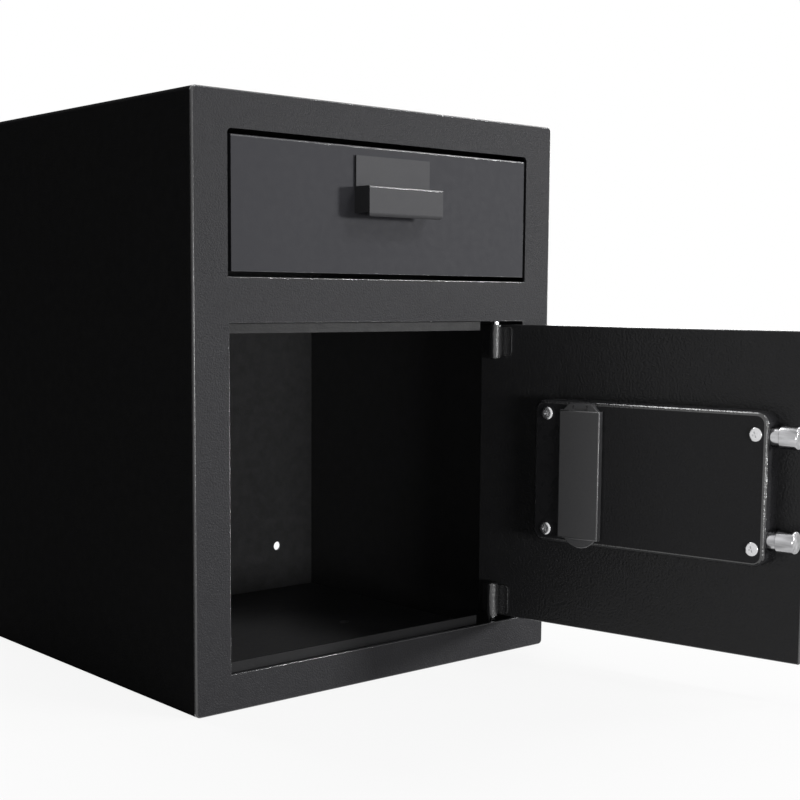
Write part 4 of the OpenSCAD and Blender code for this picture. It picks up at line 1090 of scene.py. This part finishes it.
@dataclass
class KeypadSide(DoorAssembly):
    """What the outside of the door carries: housing, keys, knob and the cap of the override lock."""

    u: Pair = (76.0, 226.0)
    v: Pair = (95.0, 203.0)
    front: float = -20.0
    door: float = -6.0
    wall: float = 2.5
    corner: float = 10.0
    fillet: float = 3.0
    key_u: float = 193.5
    key_v: float = 139.0
    pitch: float = 15.0
    key_side: float = 11.0
    key_clear: float = 0.4
    key_proud: float = 1.8
    key_skirt: Pair = (1.0, 1.2)
    key_dish: Pair = (1.4, 0.35)
    key_corner: float = 1.2
    key_edge: float = 0.5
    print_mm: Point = (6.4, 0.06, 0.30)
    lamp_v: float = 179.0
    lamp_d: float = 4.0
    spindle: Pair = (116.0, 149.0)
    spindle_hole_d: float = 9.0
    override: Pair = (162.5, 188.0)
    override_d: float = 16.2
    knob_d: float = 34.0
    knob_len: float = 22.0
    knob_gap: float = 0.5
    knob_bore_d: float = 8.0
    grip_half: float = 3.5
    grip_start: float = 4.0
    grip_end_r: float = 2.4
    grip_edge: float = 1.2
    pointer_x: Pair = (-14.0, -6.0)
    pointer_y: Pair = (0.02, 0.3)
    pointer_half: float = 0.7
    pointer_edge: float = 0.15
    cap_d: float = 24.0
    cap_rise: float = 10.2
    pivot_d: float = 3.0
    pivot_hole_d: float = 3.1
    labels: Tuple[str, ...] = ("1", "2", "3", "4", "5", "6", "7", "8", "9", "star", "0", "hash")

    def spots(self) -> List[Tuple[str, float, float]]:
        """Gives every key's name and middle."""
        return [(label, self.key_u + (k % 3 - 1) * self.pitch, self.key_v + (1.5 - k // 3) * self.pitch)
                for k, label in enumerate(self.labels)]

    def housing(self) -> Piece:
        """Makes the moulded housing with the holes for all that comes through it.

        Returns:
            The finished housing.
        """
        shell = Bench.tub("keypad_case", self.u, self.v, self.front, self.door, self.wall, self.corner,
                          self.fillet, 4)
        reach, cut = self.wall + 4.0, self.front - 2.0
        side = self.key_side / 2 + self.key_clear
        cuts = [Bench.block("key", (u - side, cut, v - side), (u + side, cut + reach, v + side))
                for _, u, v in self.spots()]
        rounds = [(self.key_u + k * self.pitch, self.lamp_v, self.lamp_d) for k in (-1, 0, 1)]
        rounds += [(*self.spindle, self.spindle_hole_d), (*self.override, self.override_d),
                   (self.override[0], self.override[1] + self.cap_rise, self.pivot_hole_d)]
        cuts += [Bench.drill((u, cut, v), ALONG_Y, d, reach, SMALL_SIDES) for u, v, d in rounds]
        Bench.combine(shell, cuts)
        return Bench.finish(shell, self.place)

    def key(self) -> Piece:
        """Makes one key, with its middle at u = v = 0: a skirt, and a dished cap in front of it.

        Returns:
            The key, not yet in place.
        """
        half, face, top = self.key_side / 2, self.front + self.wall, self.front - self.key_proud
        (wide, thick), (rim, dip) = self.key_skirt, self.key_dish
        out = half + wide
        key = Bench.block("key", (-out, face, -out), (out, face + thick, out))
        Bench.choose_faces(key, lambda n: n.y < -0.9)
        bpy.ops.mesh.inset(thickness=wide * MM)
        rise = (self.wall + self.key_proud) * MM
        bpy.ops.mesh.extrude_region_move(TRANSFORM_OT_translate={"value": (0.0, -rise, 0.0)})
        bpy.ops.mesh.inset(thickness=rim * MM)
        bpy.ops.transform.translate(value=(0.0, dip * MM, 0.0))
        bpy.ops.object.mode_set(mode="OBJECT")
        Bench.round(key, lambda p: p.y < face - 0.1 and near(abs(p.x), half) and near(abs(p.z), half),
                    self.key_corner, 4)
        Bench.round(key, lambda p: near(p.y, top) and max(abs(p.x), abs(p.z)) > half - 1.3,
                    self.key_edge)
        return key

    def label(self, name: str, u: float, v: float) -> Piece:
        """Prints a key's digit or sign on its face.

        Args:
            name: Name of the key.
            u: Middle of the key along the door.
            v: Middle of the key up the door.

        Returns:
            The printed mark as a mesh.
        """
        Bench.clear()
        bpy.ops.object.text_add()
        text = bpy.context.object
        size, thick, sunk = self.print_mm
        text.data.body = {"star": "*", "hash": "#"}.get(name, name)
        text.data.size = size * MM
        text.data.align_x, text.data.align_y = "CENTER", "CENTER"
        text.data.extrude = thick * MM
        text.name = "print_" + name
        Bench.pick(text)
        bpy.ops.object.convert(target="MESH")
        mark = bpy.context.object
        spot = Vector((u, self.front - self.key_proud + sunk, v)) * MM
        mark.matrix_world = Matrix.Translation(spot) @ Matrix.Rotation(math.pi / 2, 4, "X")
        Bench.settle(mark)
        return Bench.finish(mark, self.place)

    def _on_spindle(self, piece: Piece) -> Piece:
        """Turns a piece by the grip's 45 degrees and carries it to the spindle.

        Args:
            piece: The object, shaped round u = v = 0.

        Returns:
            The same object.
        """
        spot = Vector((self.spindle[0], 0.0, self.spindle[1])) * MM
        piece.matrix_world = Matrix.Translation(spot) @ Matrix.Rotation(math.pi / 4, 4, "Y")
        return Bench.settle(piece)

    def knob(self) -> Piece:
        """Makes the turned knob with its raised grip.

        Returns:
            The finished knob.
        """
        back, d, full = self.front - self.knob_gap, self.knob_d, self.knob_len
        tip, end = back - full, d / 2 - 1.0
        base = (self.spindle[0], back, self.spindle[1])
        skirt = Bench.turned("lock_knob", base, OUTWARDS, [
            (0.0, d - 0.6), (0.3, d), (3.6, d), (4.6, d - 1.0), (5.0, d - 3.0), (5.6, d - 9.0),
            (7.5, d - 13.5), (full - 1.0, d - 15.5), (full - 0.2, d - 16.5), (full, d - 18.0)])
        grip = Bench.block("grip", (-end, tip, -self.grip_half),
                           (end, back - self.grip_start, self.grip_half))
        Bench.round(grip, lambda p: near(abs(p.x), end), self.grip_end_r, 5)
        Bench.round(grip, on(y=tip), self.grip_edge)
        Bench.combine(skirt, [self._on_spindle(grip)], "UNION")
        bore_d = self.knob_bore_d
        bore = Bench.turned("bore", base, OUTWARDS, [(-1.0, bore_d), (full - 6.0, bore_d)], HOLE_SIDES)
        Bench.combine(skirt, [bore])
        return Bench.finish(skirt, self.place)

    def pointer(self) -> Piece:
        """Makes the white line on the knob's grip.

        Returns:
            The finished line.
        """
        tip = self.front - self.knob_gap - self.knob_len
        (x0, x1), (proud, sunk), half = self.pointer_x, self.pointer_y, self.pointer_half
        line = Bench.block("knob_pointer", (x0, tip - proud, -half), (x1, tip + sunk, half))
        Bench.round(line, on(y=tip - proud), self.pointer_edge, 2)
        return Bench.finish(self._on_spindle(line), self.place)

    def cap(self) -> Piece:
        """Makes the swivelling cap over the keyhole.

        Returns:
            The finished cap.
        """
        (u, v), d, thin = self.override, self.cap_d, self.pivot_d
        disc = Bench.turned("keyhole_cover", (u, self.front - 0.2, v), OUTWARDS, [
            (0.0, d - 0.6), (0.3, d), (1.0, d), (1.5, d - 0.6), (1.8, d - 2.0), (1.9, d - 4.0),
            (1.7, d - 7.0), (1.6, d - 16.0)])
        base = (u, self.front + self.wall + 1.0, v + self.cap_rise)
        pivot = Bench.turned("pivot", base, OUTWARDS, [
            (0.0, thin), (self.wall + 3.0, thin), (self.wall + 3.2, 2.2)], SMALL_SIDES)
        Bench.combine(disc, [pivot], "UNION")
        return Bench.finish(disc, self.place)

    def build(self) -> None:
        """Makes and dresses the outside of the door."""
        shop = self.shop
        shop.enter(self.housing(), Body.DOOR, Palette.HOUSING, "black_plastic", ["keypad_housing"])
        first = self.key()
        for label, u, v in self.spots():
            name = "key_" + label
            key = Bench.finish(Bench.copy(first, "cap_" + label, (u, 0.0, v)), self.place)
            shop.enter(key, name, Palette.KEY, "key_plastic", [name])
            shop.enter(self.label(label, u, v), name, Palette.INK, "key_plastic")
        bpy.data.objects.remove(first, do_unlink=True)
        shop.enter(self.knob(), Body.KNOB, Palette.HOUSING, "black_plastic", ["knob"])
        shop.enter(self.pointer(), Body.KNOB, Palette.MARK, "black_plastic")
        shop.enter(self.cap(), Body.CAP, Palette.HOUSING, "black_plastic", ["override_cap"])
        shop.dress_nodes(Palette.LENS, "status_lamps")


@dataclass(frozen=True)
class Lamp:
    """One rectangular lamp of the studio.

    Attributes:
        name: Name of the lamp.
        place: Where it stands, in metres.
        target: The point that it faces, in metres.
        size: Its width and height, in metres.
        watts: Its power.
    """

    name: str
    place: Point
    target: Point
    size: Pair
    watts: float

    def hang(self) -> None:
        """Adds the lamp to the scene."""
        data = bpy.data.lights.new(self.name, "AREA")
        data.shape = "RECTANGLE"
        data.size, data.size_y = self.size
        data.energy = self.watts
        lamp = bpy.data.objects.new(self.name, data)
        bpy.context.scene.collection.objects.link(lamp)
        aim = (Vector(self.target) - Vector(self.place)).to_track_quat("-Z", "Y")
        lamp.matrix_world = Matrix.Translation(Vector(self.place)) @ aim.to_matrix().to_4x4()


@dataclass
class Studio:
    """Camera at the photograph's viewing angle, plain floor, world and soft lamps."""

    image_px: float = 800.0
    focal_px: float = 1428.4
    centre_px: Pair = (417.8, 450.3)
    place_mm: Point = (-807.5, -1142.1, 339.4)
    yaw_deg: float = 41.418
    pitch_deg: float = 6.141
    roll_deg: float = 0.498
    sensor_mm: float = 36.0
    clip_m: Pair = (0.01, 50.0)
    floor_m: float = 14.0
    floor_z: float = -0.0004
    floor_colour: float = 0.24
    floor_seen: float = 0.90
    floor_share: float = 0.90
    floor_rough: float = 0.8
    floor_specular: float = 0.1
    shadow_m: Pair = (0.45, 1.40)
    ambient: float = 0.036
    white: Tuple[float, ...] = (1.0, 1.0, 1.0, 1.0)
    lamps: Tuple[Lamp, ...] = (
        Lamp("key", (4.45, -5.3, 0.81), (0.0, -0.19, 0.40), (0.68, 0.68), 255.0),
        Lamp("sheen", (2.45, -2.48, 0.85), (0.15, -0.19, 0.49), (0.15, 0.15), 7.0),
        Lamp("top_panel", (0.95, -2.15, 2.45), (0.0, -0.18, 0.30), (0.7, 0.6), 27.0),
        Lamp("low_panel", (-0.35, -2.4, 0.20), (0.0, -0.18, 0.20), (0.8, 0.3), 12.0),
        Lamp("edge_panel", (2.1, -1.2, 2.3), (0.0, -0.18, 0.40), (0.7, 0.7), 13.0),
        Lamp("rear_panel", (2.3, 1.4, 1.1), (0.1, 0.0, 0.25), (1.2, 0.9), 29.0),
        Lamp("hair_panel", (0.0, 0.8, 2.2), (0.1, 0.0, 0.25), (0.9, 0.6), 26.0),
    )

    def camera(self) -> None:
        """Creates the camera and makes it the scene's own."""
        yaw, pitch, roll = (math.radians(a) for a in (self.yaw_deg, self.pitch_deg, self.roll_deg))
        ahead = Vector((math.sin(yaw) * math.cos(pitch), math.cos(yaw) * math.cos(pitch),
                        -math.sin(pitch)))
        level = Vector((math.cos(yaw), -math.sin(yaw), 0.0))
        rise = level.cross(ahead)
        right = math.cos(roll) * level + math.sin(roll) * rise
        up = math.cos(roll) * rise - math.sin(roll) * level
        data = bpy.data.cameras.new("camera")
        data.sensor_width = self.sensor_mm
        data.lens = self.sensor_mm * self.focal_px / self.image_px
        data.shift_x = (self.image_px / 2 - self.centre_px[0]) / self.image_px
        data.shift_y = (self.centre_px[1] - self.image_px / 2) / self.image_px
        data.clip_start, data.clip_end = self.clip_m
        eye = bpy.data.objects.new("camera", data)
        bpy.context.scene.collection.objects.link(eye)
        turn = Matrix((right, up, -ahead)).transposed().to_4x4()
        eye.matrix_world = Matrix.Translation(Vector(self.place_mm) * MM) @ turn
        bpy.context.scene.camera = eye

    @staticmethod
    def _straight(tree: Tree) -> Socket:
        """Gives 1 for a ray from the camera, a gloss or a clear piece, and 0 for one that spreads light.

        Args:
            tree: The node tree that asks.

        Returns:
            The socket with the answer.
        """
        path = add_node(tree, "LightPath")
        total = path.outputs["Is Camera Ray"]
        for kind in ("Is Glossy Ray", "Is Transmission Ray"):
            add = add_node(tree, "Math")
            add.operation = "ADD"
            add.use_clamp = True
            tree.links.new(total, add.inputs[0])
            tree.links.new(path.outputs[kind], add.inputs[1])
            total = add.outputs["Value"]
        return total

    def _fade(self, tree: Tree) -> Socket:
        """Gives the floor's own white: less round the object, where its shadow falls, all far off.

        Args:
            tree: The node tree that asks.

        Returns:
            The socket with the share.
        """
        where = add_node(tree, "TexCoord")
        away = add_node(tree, "VectorMath")
        away.operation = "LENGTH"
        fade = add_node(tree, "MapRange", From_Min=self.shadow_m[0], From_Max=self.shadow_m[1],
                        To_Min=self.floor_share, To_Max=1.0)
        tree.links.new(where.outputs["Object"], away.inputs[0])
        tree.links.new(away.outputs["Value"], fade.inputs["Value"])
        return fade.outputs["Result"]

    @staticmethod
    def _mix(tree: Tree, share: Socket, spread: Socket, seen: Socket, out: Node) -> None:
        """Joins what spreading rays and what straight rays meet to the output.

        Args:
            tree: The node tree.
            share: Share of what straight rays meet.
            spread: The shader for spreading rays.
            seen: The shader for straight rays.
            out: The output node.
        """
        mix = add_node(tree, "MixShader")
        for k, socket in enumerate((share, spread, seen)):
            tree.links.new(socket, mix.inputs[k])
        tree.links.new(mix.outputs["Shader"], out.inputs["Surface"])

    def floor(self) -> None:
        """Lays the plain floor, which the camera sees as nearly white."""
        Bench.clear()
        bpy.ops.mesh.primitive_plane_add(size=self.floor_m, location=(0.0, 0.0, self.floor_z))
        floor = bpy.context.object
        floor.name = "floor"
        Bench.settle(floor)
        material = bpy.data.materials.new("pale_floor")
        material.use_nodes = True
        tree = material.node_tree
        shader = tree.nodes["Principled BSDF"]
        shader.inputs["Roughness"].default_value = self.floor_rough
        shader.inputs["Specular IOR Level"].default_value = self.floor_specular
        straight = self._straight(tree)
        tone = add_node(tree, "MapRange", To_Min=self.floor_colour, To_Max=self.floor_seen)
        tree.links.new(straight, tone.inputs["Value"])
        tree.links.new(tone.outputs["Result"], shader.inputs["Base Color"])
        white = add_node(tree, "Emission", Strength=1.0)
        share = add_node(tree, "Math")
        share.operation = "MULTIPLY"
        tree.links.new(straight, share.inputs[0])
        tree.links.new(self._fade(tree), share.inputs[1])
        self._mix(tree, share.outputs["Value"], shader.outputs["BSDF"], white.outputs["Emission"],
                  tree.nodes["Material Output"])
        floor.data.materials.append(material)

    def world(self) -> None:
        """Sets a dim world that the camera sees as white."""
        world = bpy.data.worlds.new("studio")
        bpy.context.scene.world = world
        world.use_nodes = True
        tree = world.node_tree
        tree.nodes.clear()
        out = add_node(tree, "OutputWorld")
        dim = add_node(tree, "Background", Color=self.white, Strength=self.ambient)
        white = add_node(tree, "Background", Color=self.white, Strength=1.0)
        self._mix(tree, self._straight(tree), dim.outputs["Background"], white.outputs["Background"],
                  out)

    def build(self) -> None:
        """Sets up the whole studio."""
        self.camera()
        self.floor()
        self.world()
        for lamp in self.lamps:
            lamp.hang()
        bpy.context.scene.view_settings.view_transform = "Standard"


def main() -> None:
    """Builds the studio and every sub-assembly in order."""
    logging.basicConfig(level=logging.INFO, format="%(name)s: %(message)s")
    Studio().build()
    shop = Shop()
    door = Door(shop)
    for assembly in (Cabinet(shop), Drawer(shop), door, LockCover(shop, door.place),
                     BoltPair(shop, door.place), KeypadSide(shop, door.place)):
        assembly.build()


if __name__ == "__main__":
    main()
